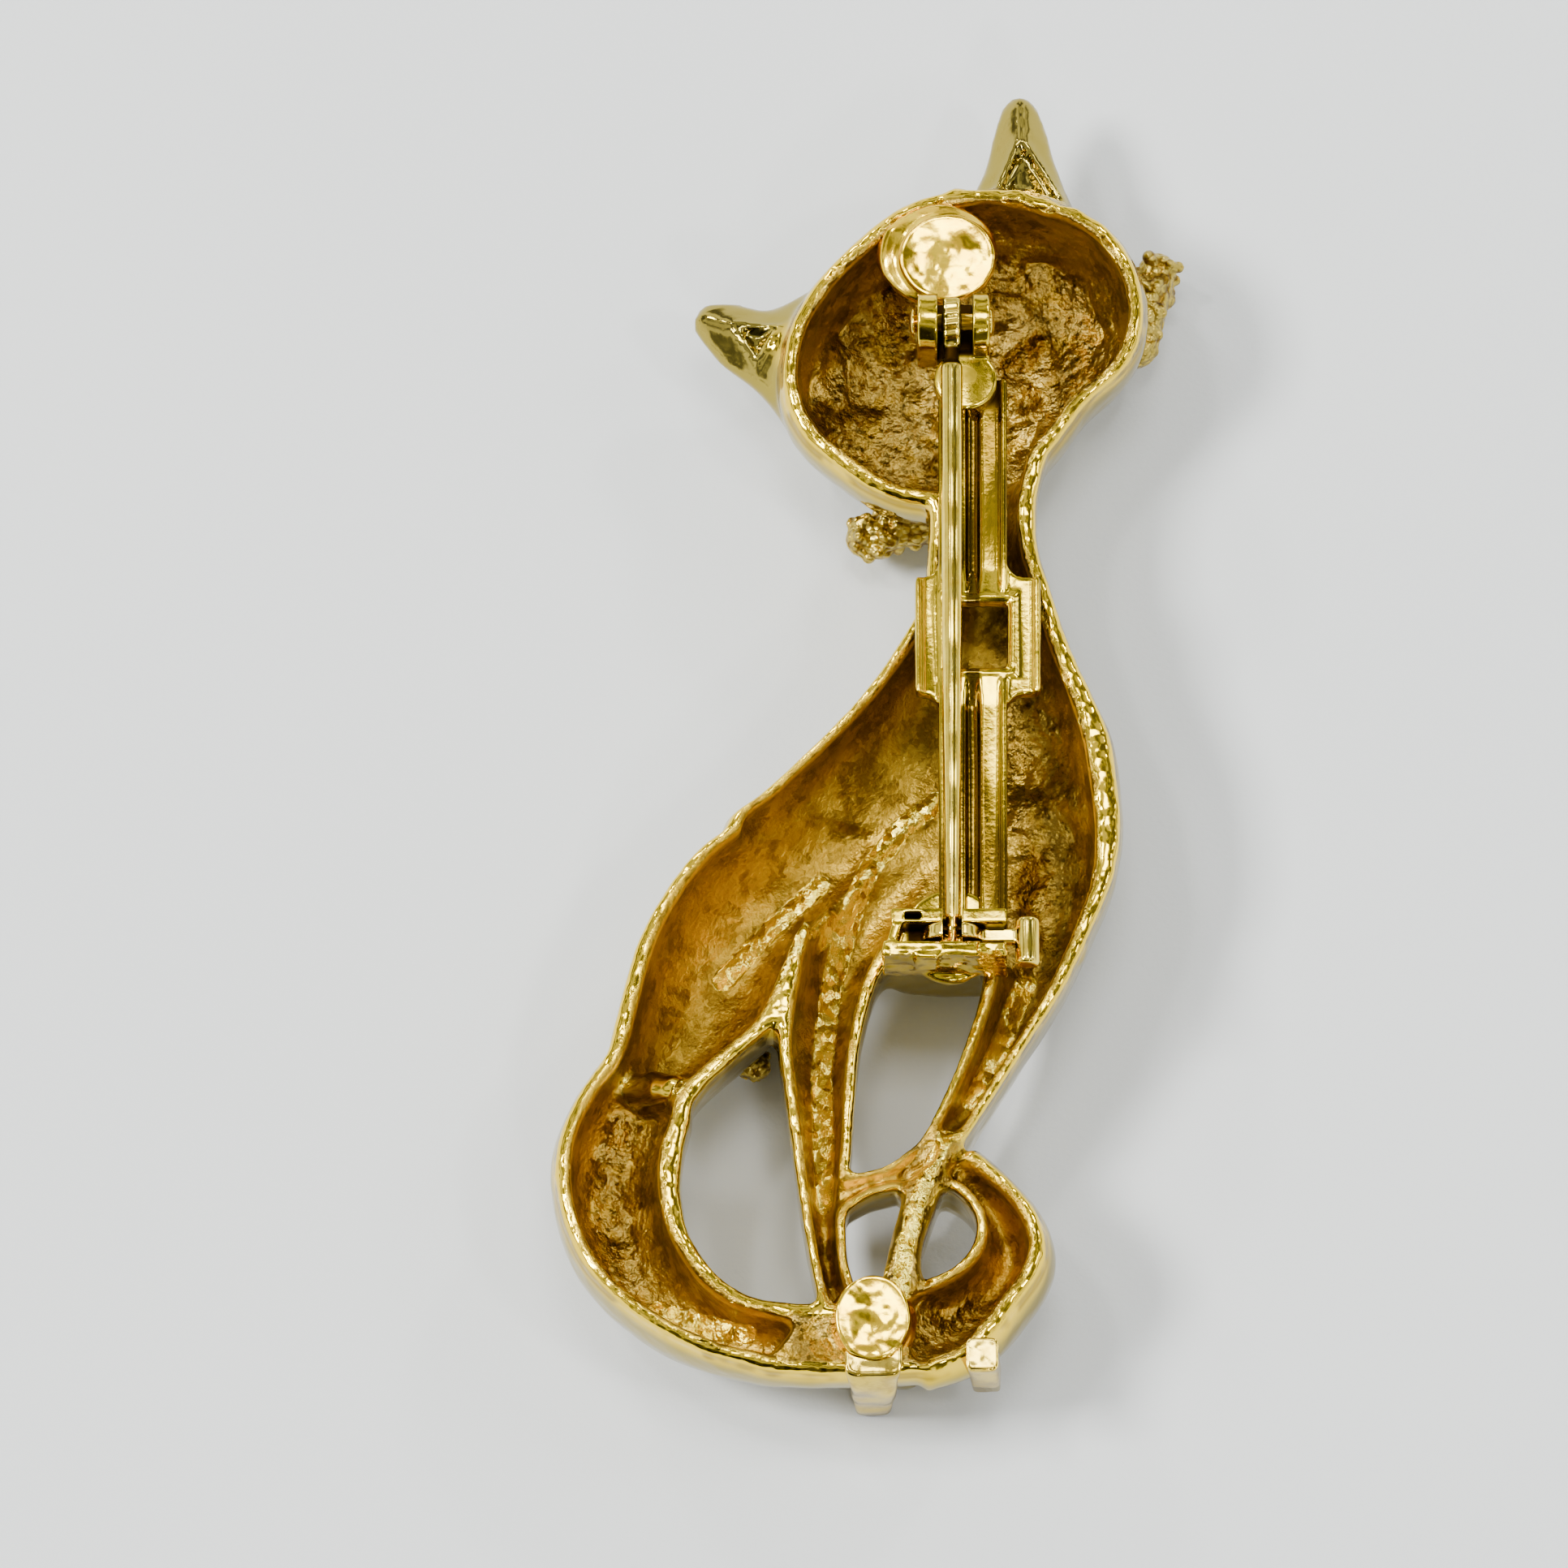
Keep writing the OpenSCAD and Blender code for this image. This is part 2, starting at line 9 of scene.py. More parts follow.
import bmesh
import bpy
import numpy as np
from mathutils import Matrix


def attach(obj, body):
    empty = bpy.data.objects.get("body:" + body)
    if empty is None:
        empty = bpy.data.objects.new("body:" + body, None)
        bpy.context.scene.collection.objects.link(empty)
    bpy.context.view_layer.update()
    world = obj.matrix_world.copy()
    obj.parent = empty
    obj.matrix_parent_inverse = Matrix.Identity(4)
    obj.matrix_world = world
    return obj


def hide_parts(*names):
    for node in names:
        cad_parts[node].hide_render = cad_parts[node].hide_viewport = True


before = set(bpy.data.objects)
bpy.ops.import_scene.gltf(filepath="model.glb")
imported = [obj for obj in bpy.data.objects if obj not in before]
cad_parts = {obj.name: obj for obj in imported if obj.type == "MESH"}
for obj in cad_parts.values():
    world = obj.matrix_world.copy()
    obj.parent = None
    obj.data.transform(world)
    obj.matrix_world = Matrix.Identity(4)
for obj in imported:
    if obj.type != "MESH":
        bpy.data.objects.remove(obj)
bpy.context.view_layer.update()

# %% [markdown]
# ## The view
# Small things are photographed from far away with a long lens, so the cat's near and far walls keep the same
# scale. The camera stands 71 degrees above the table and looks along +Y.

# %% Camera
MM = 0.001
TO_ORIGIN = np.array([-0.04, -1.46, 0.0])
LIFT = math.radians(71)
SENSOR = 36  # mm
CAMERA_AIM = (-4.0, -2.98, 8.0)  # mm
DISTANCE, FRAME_WIDTH = 3.4, 0.07728  # m


def add_camera(aim_mm, lift, distance, frame_width):
    """A camera at distance from the aimed point: back along -Y by its cosine, up by its sine."""
    data = bpy.data.cameras.new("camera")
    data.sensor_width = SENSOR
    data.lens = SENSOR * distance / frame_width
    data.clip_start, data.clip_end = 0.05, 20
    camera = bpy.data.objects.new("camera", data)
    bpy.context.scene.collection.objects.link(camera)
    x, y, z = np.asarray(aim_mm) * MM
    camera.location = (x, y - distance * math.cos(lift), z + distance * math.sin(lift))
    camera.rotation_euler = (math.pi / 2 - lift, 0, 0)
    bpy.context.scene.camera = camera
    return camera


camera = add_camera(CAMERA_AIM, LIFT, DISTANCE, FRAME_WIDTH)
print("camera at", [round(v, 3) for v in camera.location], "lens", round(camera.data.lens), "mm")

# %% [markdown]
# ## Curves, sections and skins
# A limb of the casting is a section that changes along its path. Each table row below is one section, and a
# smooth curve through the rows gives the sections between them. The whole limb is then one array of points.

# %% Curves through table rows
def spread(rows, steps, closed=False):
    """Rows on a Catmull-Rom curve. Between rows b and c the curve is b + (c - a)t/2 + (a - 2.5b + 2c - d/2)t^2
    + (-a/2 + 1.5b - 1.5c + d/2)t^3, where a and d are the rows before and after."""
    rows = np.asarray(rows, float)
    if closed:
        a, b, c, d = (np.roll(rows, k, axis=0) for k in (1, 0, -1, -2))
    else:
        p = np.vstack([rows[:1], rows, rows[-1:]])
        a, b, c, d = p[:-3], p[1:-2], p[2:-1], p[3:]
    t = np.linspace(0, 1, steps, endpoint=False)[None, :, None]
    a, b, c, d = (q[:, None] for q in (a, b, c, d))
    made = b + (c - a) * t / 2 + (a - 2.5 * b + 2 * c - d / 2) * t**2 + (1.5 * (b - c) + (d - a) / 2) * t**3
    made = made.reshape(-1, rows.shape[1])
    return made if closed else np.vstack([made, rows[-1:]])


print("a curve through 3 rows, 4 steps each:", spread([[0, 0], [1, 1], [2, 0]], 4).shape[0], "rows")

# %% The casting's tables
RIM = 8.0
# Limbs in mm. Columns: left x, left y, right x, right y, depth outside, depth of the trough, left wall,
# right wall. Left and right are the outer edges of the rim.
BACK = [
    [3.5, 15.5, 9.4, 16.7, 6.4, 5.2, 0.75, 1.05],
    [3.25, 13.2, 8.6, 13.9, 5.9, 4.5, 0.7, 0.95],
    [3.1, 10.6, 8.6, 11.0, 5.8, 4.6, 0.7, 0.85],
    [2.8, 8.2, 9.3, 8.6, 6.2, 4.8, 0.7, 0.85],
    [1.6, 5.9, 10.1, 6.1, 7, 5.2, 0.7, 0.95],
    [-0.3, 3.2, 11.3, 3.4, 7.6, 5.6, 0.7, 1.15],
    [-2.7, 0.6, 12.3, 1.0, 7.9, 5.8, 0.7, 1.35],
    [-5.2, -1.8, 12.7, -2.0, 8.15, 5.8, 0.7, 1.35],
    [-7.0, -3.7, 12.7, -4.2, 8.05, 5.8, 0.7, 1.25],
    [-4.4, -7.4, 12.2, -6.6, 7.5, 5.5, 0.8, 1.0],
    [-0.3, -9.9, 11.1, -9.3, 6.6, 4.8, 0.9, 0.9],
    [0.7, -10.9, 10.8, -10.3, 6, 0, 0.9, 0.9]]
HAUNCH = [
    [-3.9, -1.3, 4.6, -3.2, 7.6, 5.8, 0.7, 0.8],
    [-6.5, -3.4, 2.4, -5.2, 7.8, 6, 0.7, 0.8],
    [-8.3, -4.8, -0.2, -6.9, 8.1, 6.3, 0.7, 0.8],
    [-10.0, -7.1, -2.2, -8.9, 8.15, 6.6, 0.75, 0.8],
    [-11.2, -9.5, -3.2, -11.2, 8.1, 6.6, 0.8, 0.8],
    [-11.9, -11.9, -4.4, -13.9, 7.4, 6.1, 0.85, 0.85],
    [-12.3, -13.7, -6.4, -15.8, 6.8, 5.4, 0.85, 0.9],
    [-12.7, -15.3, -7.9, -17.3, 6.4, 4.6, 0.8, 0.9],
    [-13.4, -16.6, -8.6, -18.4, 6.2, 3.6, 0.75, 0.9]]
MIDDLE_LEG = [
    [-0.6, -2.6, 6.6, -4.6, 7, 6, 0.9, 0.9],
    [-2.4, -5.2, 3.2, -7.9, 7.2, 6.3, 0.8, 0.8],
    [-3.4, -8.4, 1.4, -10.3, 7.2, 6.2, 0.75, 0.7],
    [-3.9, -11.4, 0.5, -12.2, 6.8, 5.8, 0.7, 0.65],
    [-4.3, -14.4, -0.1, -14.6, 6.2, 5.1, 0.7, 0.6],
    [-4.0, -17.3, -0.4, -17.3, 5.8, 4.6, 0.65, 0.6],
    [-3.6, -20.3, -0.6, -20.3, 5.6, 4.2, 0.6, 0.55],
    [-3.2, -23.3, -0.9, -23.3, 5.6, 3.8, 0.55, 0.5],
    [-2.7, -26.2, -0.8, -26.2, 5.8, 3.4, 0.5, 0.5],
    [-2.2, -28.6, -0.2, -28.2, 6, 2.6, 0.5, 0.5]]
FRONT_LEG = [
    [4.6, 0.4, 12.2, 0.8, 6.0, 3.2, 0.9, 1.3],
    [5.4, -3.4, 12.7, -3.0, 7.6, 5.2, 0.9, 1.3],
    [5.6, -6.8, 12.4, -6.0, 7.2, 5.6, 0.9, 1.1],
    [5.9, -9.4, 11.4, -8.6, 6.8, 5.2, 0.85, 0.95],
    [5.7, -12.2, 9.9, -11.9, 6.2, 4.8, 0.7, 0.8],
    [4.8, -15.3, 8.1, -14.9, 5.8, 4.2, 0.65, 0.75],
    [3.8, -17.8, 6.5, -17.5, 5.6, 3.2, 0.6, 0.7],
    [2.9, -19.8, 5.3, -19.4, 5.6, 0.7, 0.5, 0.6],
    [2.2, -21.6, 4.2, -21.4, 5.8, 0, 0.5, 0.5],
    [1.7, -23.4, 3.4, -23.6, 6, 0, 0.5, 0.5],
    [1.2, -25.4, 2.8, -25.8, 6, 0, 0.5, 0.5],
    [0.6, -28.2, 2.9, -28.6, 6.2, 0, 0.5, 0.5]]
TAIL_LEFT = [
    [-12.9, -15.8, -8.5, -17.4, 6.2, 3.4, 0.75, 0.9],
    [-14.1, -17.6, -8.5, -18.9, 6.2, 4.2, 0.7, 1.0],
    [-15.0, -19.7, -8.9, -20.7, 6.2, 4.8, 0.7, 1.15],
    [-15.2, -21.8, -9.0, -22.6, 6.2, 5, 0.7, 1.1],
    [-14.8, -24.1, -8.7, -24.5, 6.2, 5, 0.7, 1.0],
    [-13.9, -26.2, -7.9, -26.0, 6.2, 4.8, 0.7, 1.0],
    [-12.3, -28.1, -6.9, -27.2, 6.2, 4.6, 0.75, 1.05],
    [-10.2, -29.7, -5.6, -28.0, 6.2, 4.2, 0.8, 1.1],
    [-7.9, -30.9, -4.2, -28.3, 5.4, 3.4, 0.8, 1.1],
    [-5.6, -31.6, -3.0, -28.4, 4.8, 2.8, 0.8, 1.1],
    [-4.9, -31.8, -2.6, -28.4, 4.5, 0.3, 0.7, 1.1],
    [-2.6, -32.0, -1.6, -28.4, 4, 0.25, 0.6, 1.0],
    [0.4, -32.0, 0.2, -28.3, 3.8, 0.25, 0.6, 0.9],
    [2.6, -31.9, 1.6, -28.2, 3.8, 0.25, 0.6, 0.9]]
TAIL_RIGHT = [
    [5.2, -20.4, 3.5, -22.2, 6, 0.7, 0.6, 0.6],
    [6.9, -21.9, 4.5, -22.6, 6, 2.4, 0.65, 0.6],
    [8.3, -23.6, 5.3, -23.6, 6.2, 3.4, 0.7, 0.6],
    [8.8, -25.4, 5.45, -24.7, 6.2, 3.8, 0.7, 0.6],
    [8.4, -26.9, 5.1, -25.7, 6.2, 3.8, 0.7, 0.6],
    [7.4, -28.4, 4.2, -26.6, 6.2, 3.7, 0.7, 0.6],
    [6.4, -29.8, 3.2, -27.1, 5.4, 3.2, 0.7, 0.6],
    [5.0, -31.1, 2.3, -27.5, 4.4, 2.4, 0.5, 0.5],
    [2.8, -31.9, 1.4, -28.3, 3.8, 1.5, 0.4, 0.5]]
WEB = [
    [-1.6, -21.9, -1.2, -23.9, 4.4, 0.9, 0.4, 0.4],
    [-0.2, -21.6, 0.2, -22.9, 4.2, 0.9, 0.36, 0.4],
    [1.2, -21.2, 1.6, -22.5, 4.2, 0.9, 0.36, 0.4],
    [2.4, -20.2, 2.9, -22.1, 4.4, 0.9, 0.36, 0.4],
    [3.4, -19.0, 3.8, -21.2, 5, 0.6, 0.36, 0.4]]
# The ridge across the trough where the tail leaves the haunch. Columns: x, y, z of its crest, radius.
PARTITION = np.array([
    [-12.35, -16.1, 5.3, 0.6],
    [-11.8, -16.3, 5.0, 0.8],
    [-10.9, -16.6, 6.1, 0.95],
    [-10.0, -16.9, 7.0, 0.9],
    [-9.3, -17.1, 7.6, 0.75]])
# Lines along the troughs where a painted highlight of bright grains runs. Each is a line of points in mm.
GLINT_LINES = [np.array(line) for line in (
    [[3.6, -0.5], [1.8, -2.0], [0.2, -4.1], [-0.6, -6.2], [-1.3, -8.7], [-1.8, -11.3], [-2.1, -15.3], [-1.9, -22.2]],
    [[-2.2, -4.8], [-4.5, -6.9], [-7.0, -9.6]], [[-1.6, -7.0], [-3.0, -9.0], [-4.2, -11.6]],
    [[8.0, -10.3], [7.1, -12.6], [6.3, -14.7], [5.3, -17.0]],
    [[-11.6, -16.4], [-10.4, -16.8], [-9.3, -17.1]], [[-10.2, -27.4], [-8.0, -28.5], [-5.8, -29.1]])]
HEAD_AT = np.array([5.0, 21.2])
HEAD_DEEP, HEAD_TROUGH, HEAD_WALL = 8.15, 6.9, 0.75
# The head's radius, at equal angles from +X towards +Y.
HEAD_R = np.array([8.6, 9.6, 9.75, 9.1, 8.7, 8.4, 8.1, 8.5, 9.2, 9.5, 8.9, 8.7, 8.1, 7.3, 6.7, 6.8])
# Half sections. Columns: across as a share of the half width, down as a share of the depth.
OUTER_HALF = [[0.96, 0], [1, 0.17], [0.985, 0.38], [0.9, 0.63], [0.7, 0.84], [0.38, 0.965], [0, 1]]
INNER_HALF = [[0.96, 0], [0.98, 0.2], [0.95, 0.42], [0.85, 0.64], [0.64, 0.82], [0.34, 0.95], [0, 1]]
BOWL_HALF = [[0.96, 0], [0.985, 0.2], [0.975, 0.42], [0.92, 0.66], [0.78, 0.86], [0.46, 0.975], [0.1, 1]]
print("limb rows:", [len(t) for t in (BACK, HAUNCH, MIDDLE_LEG, FRONT_LEG, TAIL_LEFT, TAIL_RIGHT, WEB)])

# %% [markdown]
# The section swings from the left rim, down through the bottom, and up to the right rim. Because every wall
# has its own thickness, the trough inside a limb is the same section drawn between the inner edges of the rim.

# %% Limbs and troughs as grids of points
def section(half, steps=4):
    """The whole section from a half one: across runs from -1 to 1, down is 0 at the rim and 1 at the bottom."""
    side = spread(half, steps)
    return np.vstack([side * [-1, 1], side[-2::-1]])


def limb_grid(rows, half, inner, swell=0.0, lid=0.0):
    """Point = middle + half width * across, at height RIM - depth * down. The left side is pushed out by
    swell * sin(pi * down). With a lid, the section goes straight up from the rim by that much."""
    r = spread(rows, 5)
    left, right = r[:, 0:2], r[:, 2:4]
    way = (right - left) / np.linalg.norm(right - left, axis=1, keepdims=True)
    if inner:
        left, right = left + way * r[:, 6:7], right - way * r[:, 7:8]
    middle, reach, depth = (left + right) / 2, (right - left) / 2, r[:, 5 if inner else 4]
    across, down = section(half).T
    plan = middle[:, None] + reach[:, None] * across[None, :, None]
    plan = plan - way[:, None] * (swell * np.sin(np.pi * down) * (across < 0))[None, :, None]
    grid = np.dstack([plan, RIM - depth[:, None] * down[None]])
    if lid:
        top = grid[:, [0, -1]] + [0, 0, lid]
        grid = np.concatenate([top[:, :1], grid, top[:, 1:]], axis=1)
    return grid


def ring_grid(centre, radii, shares, heights):
    """Closed rings round a centre: radius(angle) * share, at the given heights."""
    angle = np.linspace(0, 2 * np.pi, len(radii), endpoint=False)
    out = np.stack([np.cos(angle), np.sin(angle)], 1)
    plan = np.asarray(centre)[None, None] + radii[None, :, None] * np.asarray(shares)[:, None, None] * out[None]
    return np.dstack([plan, np.broadcast_to(np.asarray(heights)[:, None], plan.shape[:2])])


def stack_grid(rows, steps, around):
    """Ellipses stacked on a curve. Columns: x, y, z, half width, half length."""
    r = spread(rows, steps)
    a = np.linspace(0, 2 * np.pi, around, endpoint=False)
    x = r[:, 0:1] + r[:, 3:4] * np.cos(a)
    y = r[:, 1:2] + r[:, 4:5] * np.sin(a)
    return np.dstack([x, y, np.broadcast_to(r[:, 2:3], x.shape)])


def squared(grid, round_share=0.35):
    """Moves a stack's round rings out to rounded squares: cosine and sine are raised to round_share."""
    middle = grid.mean(axis=1, keepdims=True)
    reach = np.abs(grid - middle).max(axis=1, keepdims=True) + 1e-9
    unit = (grid - middle) / reach
    made = middle + reach * np.sign(unit) * np.abs(unit) ** round_share
    made[..., 2] = grid[..., 2]
    return made


tail_grid = limb_grid(TAIL_LEFT, OUTER_HALF, False, swell=0.3)
print("the tail's outside:", tail_grid.shape[0], "sections of", tail_grid.shape[1], "points")

# %% [markdown]
# A skin joins each section to the next with quads, wraps round, and closes both ends. Many such closed
# skins may overlap inside one mesh: turning it into small voxels and back melts them into one casting.

# %% Skins and meshes
def skin(grid):
    """Quads between row i and row i + 1, wrapped round, and one face across each end."""
    n, k, _ = grid.shape
    i, j = np.arange(n - 1)[:, None] * k, np.arange(k)[None]
    after = (j + 1) % k
    quads = np.stack([i + j, i + after, i + k + after, i + k + j], -1).reshape(-1, 4)
    ends = [list(range(k))[::-1], list(range((n - 1) * k, n * k))]
    return grid.reshape(-1, 3), quads.tolist() + ends


def mesh_from(name, parts):
    """One mesh from pairs of points and faces, with every face turned outwards."""
    points, faces, start = [], [], 0
    for p, f in parts:
        points.append(p)
        faces += [[v + start for v in face] for face in f]
        start += len(p)
    mesh = bpy.data.meshes.new(name)
    mesh.from_pydata(np.vstack(points).tolist(), [], faces)
    bm = bmesh.new()
    bm.from_mesh(mesh)
    bmesh.ops.recalc_face_normals(bm, faces=bm.faces)
    bm.to_mesh(mesh)
    bm.free()
    return mesh


def mesh_of(name, grids):
    """One mesh from many grids, each with a closed skin."""
    return mesh_from(name, [skin(grid) for grid in grids])


def scratch(mesh):
    """An object that holds the mesh while modifiers work on it."""
    made = bpy.data.objects.new(mesh.name, mesh)
    bpy.context.scene.collection.objects.link(made)
    return made


def finished(thing):
    """The thing's mesh with its modifiers applied, and the thing itself cleared away."""
    bpy.context.view_layer.update()
    mesh = bpy.data.meshes.new_from_object(thing.evaluated_get(bpy.context.evaluated_depsgraph_get()))
    bpy.data.objects.remove(thing)
    return mesh


def melted(mesh, size):
    """The mesh as one skin of small quads."""
    thing = scratch(mesh)
    voxels = thing.modifiers.new("voxels", "REMESH")
    voxels.mode, voxels.voxel_size = "VOXEL", size
    return finished(thing)


def combined(mesh, other, operation):
    """Both meshes as one, or the first less the second."""
    thing, tool = scratch(mesh), scratch(other)
    made = thing.modifiers.new(operation, "BOOLEAN")
    made.operation, made.solver, made.object = operation, "MANIFOLD", tool
    mesh = finished(thing)
    bpy.data.objects.remove(tool)
    return mesh


def points_of(mesh):
    """The mesh's points as rows of x, y and z."""
    co = np.empty(len(mesh.vertices) * 3, np.float32)
    mesh.vertices.foreach_get("co", co)
    return co.reshape(-1, 3).astype(float)


def set_points(mesh, co):
    mesh.vertices.foreach_set("co", np.asarray(co, np.float32).ravel())
    mesh.update()


def edges_of(mesh):
    """The numbers of the two vertices of each edge."""
    pairs = np.empty(len(mesh.edges) * 2, np.int32)
    mesh.edges.foreach_get("vertices", pairs)
    return pairs.reshape(-1, 2)


def neighbour_mean(values, pairs):
    """For each vertex, the mean of the values at the other ends of its edges."""
    n = len(values)
    count = np.maximum(np.bincount(pairs.ravel(), minlength=n), 1)
    flat = values.reshape(n, -1)
    total = [np.bincount(pairs[:, 0], flat[pairs[:, 1], c], n) + np.bincount(pairs[:, 1], flat[pairs[:, 0], c], n)
             for c in range(flat.shape[1])]
    return (np.stack(total, 1) / count[:, None]).reshape(values.shape)


def relaxed(co, pairs, times, pull=0.5, push=-0.52):
    """Each vertex goes part of the way to its neighbours' mean, then slightly back, so nothing shrinks."""
    for _ in range(times):
        for share in (pull, push):
            co = co + share * (neighbour_mean(co, pairs) - co)
    return co


print("skin of one tail:", len(skin(tail_grid)[1]), "faces")

# %% [markdown]
# Cast metal is never quite smooth. A random value at every point of a lattice, blended smoothly in between,
# gives bumps of any size. It moves the points of the troughs, which were never polished, and hardly those
# of the outside.

# %% Smooth random bumps
def bumps(co, size, seed):
    """Value noise from -1 to 1: the eight lattice values round a point, blended by f * f * (3 - 2f)."""
    lattice = np.random.default_rng(seed).uniform(-1, 1, (48, 48, 48))
    cell = np.floor(co / size).astype(int)
    f = co / size - cell
    f = f * f * (3 - 2 * f)
    total = np.zeros(len(co))
    for corner in np.ndindex(2, 2, 2):
        share = np.prod(np.where(np.array(corner) == 1, f, 1 - f), axis=1)
        at = (cell + corner) % 48
        total += share * lattice[at[:, 0], at[:, 1], at[:, 2]]
    return total


def ramp(value, low, high):
    """0 below low, 1 above high, and t * t * (3 - 2t) between them."""
    t = np.clip((value - low) / (high - low), 0, 1)
    return t * t * (3 - 2 * t)


def outward(mesh):
    """The way out of the surface at each vertex."""
    normal = np.empty(len(mesh.vertices) * 3, np.float32)
    mesh.vertices.foreach_get("normal", normal)
    return normal.reshape(-1, 3).astype(float)


print("bumps at three points:", bumps(np.array([[0.2, 0, 0], [1, 2, 3.5], [9, 8, 7.7]]), 1.3, 1).round(2))

# %% [markdown]
# ## The cat's outside
# The head is a bowl of rings, the ears are solid, and each tuft is a heap of small grains round a core.

# %% The outside of the casting
# Ears in mm. Columns: left x, left y, right x, right y, lowest z, ridge z.
RIGHT_EAR = [
    [4.6, 28.4, 11.2, 27.6, 2.6, 7.6],
    [5.9, 31.4, 9.6, 31.5, 3, 6.8],
    [6.4, 33.4, 9.1, 33.4, 3.6, 6.2],
    [6.8, 34.8, 8.6, 34.8, 4, 5.7],
    [7.3, 35.4, 8.1, 35.4, 4.4, 5.3]]
LEFT_EAR = [
    [-2.0, 25.6, -3.6, 17.6, 2.6, 7.6],
    [-4.6, 24.3, -5.2, 19.9, 3, 6.8],
    [-6.3, 24.6, -6.9, 21.3, 3.6, 6.2],
    [-7.7, 24.6, -7.9, 22.5, 4, 5.7],
    [-8.3, 24.1, -8.4, 23.3, 4.4, 5.3]]
# Tufts in mm. Columns: x and y of the root, x and y of the end, radius, z.
TUFTS = np.array([
    [3.2, 14.3, 0.0, 13.2, 1.2, 2.4],
    [13.4, 23.4, 14.5, 27.2, 1.25, 2.4],
    [-6.2, -13.7, -5.2, -14.2, 0.8, 1.9]])
GRAINS = 60


def ear_grid(rows):
    """A blunt ridge towards the open back and a round front: z = middle + half height * up."""
    r = spread(rows, 5)
    across, up = spread([[-1, 0.1], [-0.5, 0.7], [0, 1], [0.5, 0.7], [1, 0.1], [0.6, -0.8], [0, -1], [-0.6, -0.8]],
                        4, closed=True).T
    plan = (r[:, None, 0:2] + r[:, None, 2:4]) / 2 + (r[:, None, 2:4] - r[:, None, 0:2]) / 2 * across[None, :, None]
    z = (r[:, 4:5] + r[:, 5:6]) / 2 + (r[:, 5:6] - r[:, 4:5]) / 2 * up[None]
    return np.dstack([plan, z])


def ball_grid(at, radius):
    """A small ball: rings of radius * sin(v) at height radius * cos(v)."""
    v = np.linspace(0.12, np.pi - 0.12, 9)
    rows = np.stack([np.full(9, at[0]), np.full(9, at[1]), at[2] + radius * np.cos(v),
                     radius * np.sin(v), radius * np.sin(v)], 1)
    return stack_grid(rows, 1, 14)


def tuft_grids(t, grains, seed):
    """Balls set at random on and round the line from a tuft's root to its end."""
    rng = np.random.default_rng(seed)
    along = rng.uniform(-0.05, 1.1, grains)
    angle = rng.uniform(0, 2 * np.pi, grains)
    root, end = t[0:2], t[2:4]
    way = (end - root) / np.linalg.norm(end - root)
    side = np.array([-way[1], way[0]])
    reach = t[4] * rng.uniform(0.74, 0.9, grains)
    plan = root + along[:, None] * (end - root) + (np.cos(angle) * reach)[:, None] * side
    z = t[5] + np.sin(angle) * reach
    size = t[4] * rng.uniform(0.2, 0.32, grains)
    return [ball_grid((*plan[k], z[k]), size[k]) for k in range(grains)]


def capsule_grid(a, b, ra, rb):
    """A round limb between two balls, for paws."""
    t = np.linspace(0, 1, 7)[:, None]
    line = np.asarray(a) * (1 - t) + np.asarray(b) * t
    radius = ra * (1 - t) + rb * t
    return stack_grid(np.hstack([line, radius, radius]), 1, 24)


VOXEL = 0.17
PAW_R, ANKLE_R = 1.5, 1.3
head_rings = spread(HEAD_R[:, None], 6, closed=True)[:, 0]
# The lowest ring keeps a small radius, so that the bowl closes with a face.
outer_rings = spread(OUTER_HALF[:-1] + [[0.1, 1]], 4)
outside = [ring_grid(HEAD_AT, head_rings, outer_rings[:, 0], RIM - HEAD_DEEP * outer_rings[:, 1])]
outside += [limb_grid(rows, OUTER_HALF, False) for rows in (BACK, HAUNCH, MIDDLE_LEG, FRONT_LEG)]
outside += [tail_grid, limb_grid(TAIL_RIGHT, OUTER_HALF, False, swell=0.7), limb_grid(WEB, OUTER_HALF, False),
            ear_grid(RIGHT_EAR), ear_grid(LEFT_EAR)]
for paw_x, ankle_x in ((-0.9, -0.5), (1.9, 1.3)):
    paw = (paw_x, -29.3, 1.45)
    outside += [capsule_grid(paw, (ankle_x, -29.9, 5.4), PAW_R, ANKLE_R), ball_grid(paw, PAW_R)]
shell = melted(mesh_of("outside", outside), VOXEL)
co = relaxed(points_of(shell), edges_of(shell), 2)
co[:, 2] = np.maximum(co[:, 2], 0)
set_points(shell, co)
print("outside:", len(outside), "skins melted into", len(shell.polygons), "faces")

# %% [markdown]
# ## The hollow
# The troughs are melted in the same way, roughened, and then taken out of the outside. What is left between
# the two is the wall.

# %% The hollow and the shell
def from_line(plan, line):
    """Distance to a line of points: to each stretch it is |p - a - t * (b - a)|, with t held from 0 to 1."""
    a, way = line[:-1], np.diff(line, axis=0)
    off = plan[:, None] - a[None]
    t = np.clip((off * way).sum(-1) / (way * way).sum(-1), 0, 1)
    return np.linalg.norm(off - t[..., None] * way, axis=-1).min(axis=1)


def to_glint_lines(co):
    """Distance in plan to the nearest line of painted glints."""
    return np.min([from_line(co[:, :2], line) for line in GLINT_LINES], axis=0)


# The troughs start LID above the rim. The ends of the back and of the front leg are solid.
LID = 1.0
bowl = spread(BOWL_HALF, 4)
troughs = [ring_grid(HEAD_AT, head_rings - HEAD_WALL, [bowl[0, 0], *bowl[:, 0]],
                     [RIM + LID, *(RIM - HEAD_TROUGH * bowl[:, 1])])]
troughs += [limb_grid(rows, INNER_HALF, True, lid=LID) for rows in (
    BACK[:11], HAUNCH, MIDDLE_LEG, FRONT_LEG[:8], TAIL_LEFT, TAIL_RIGHT, WEB)]
hollow = melted(mesh_of("hollow", troughs), VOXEL)
co = relaxed(points_of(hollow), edges_of(hollow), 3)
set_points(hollow, co)
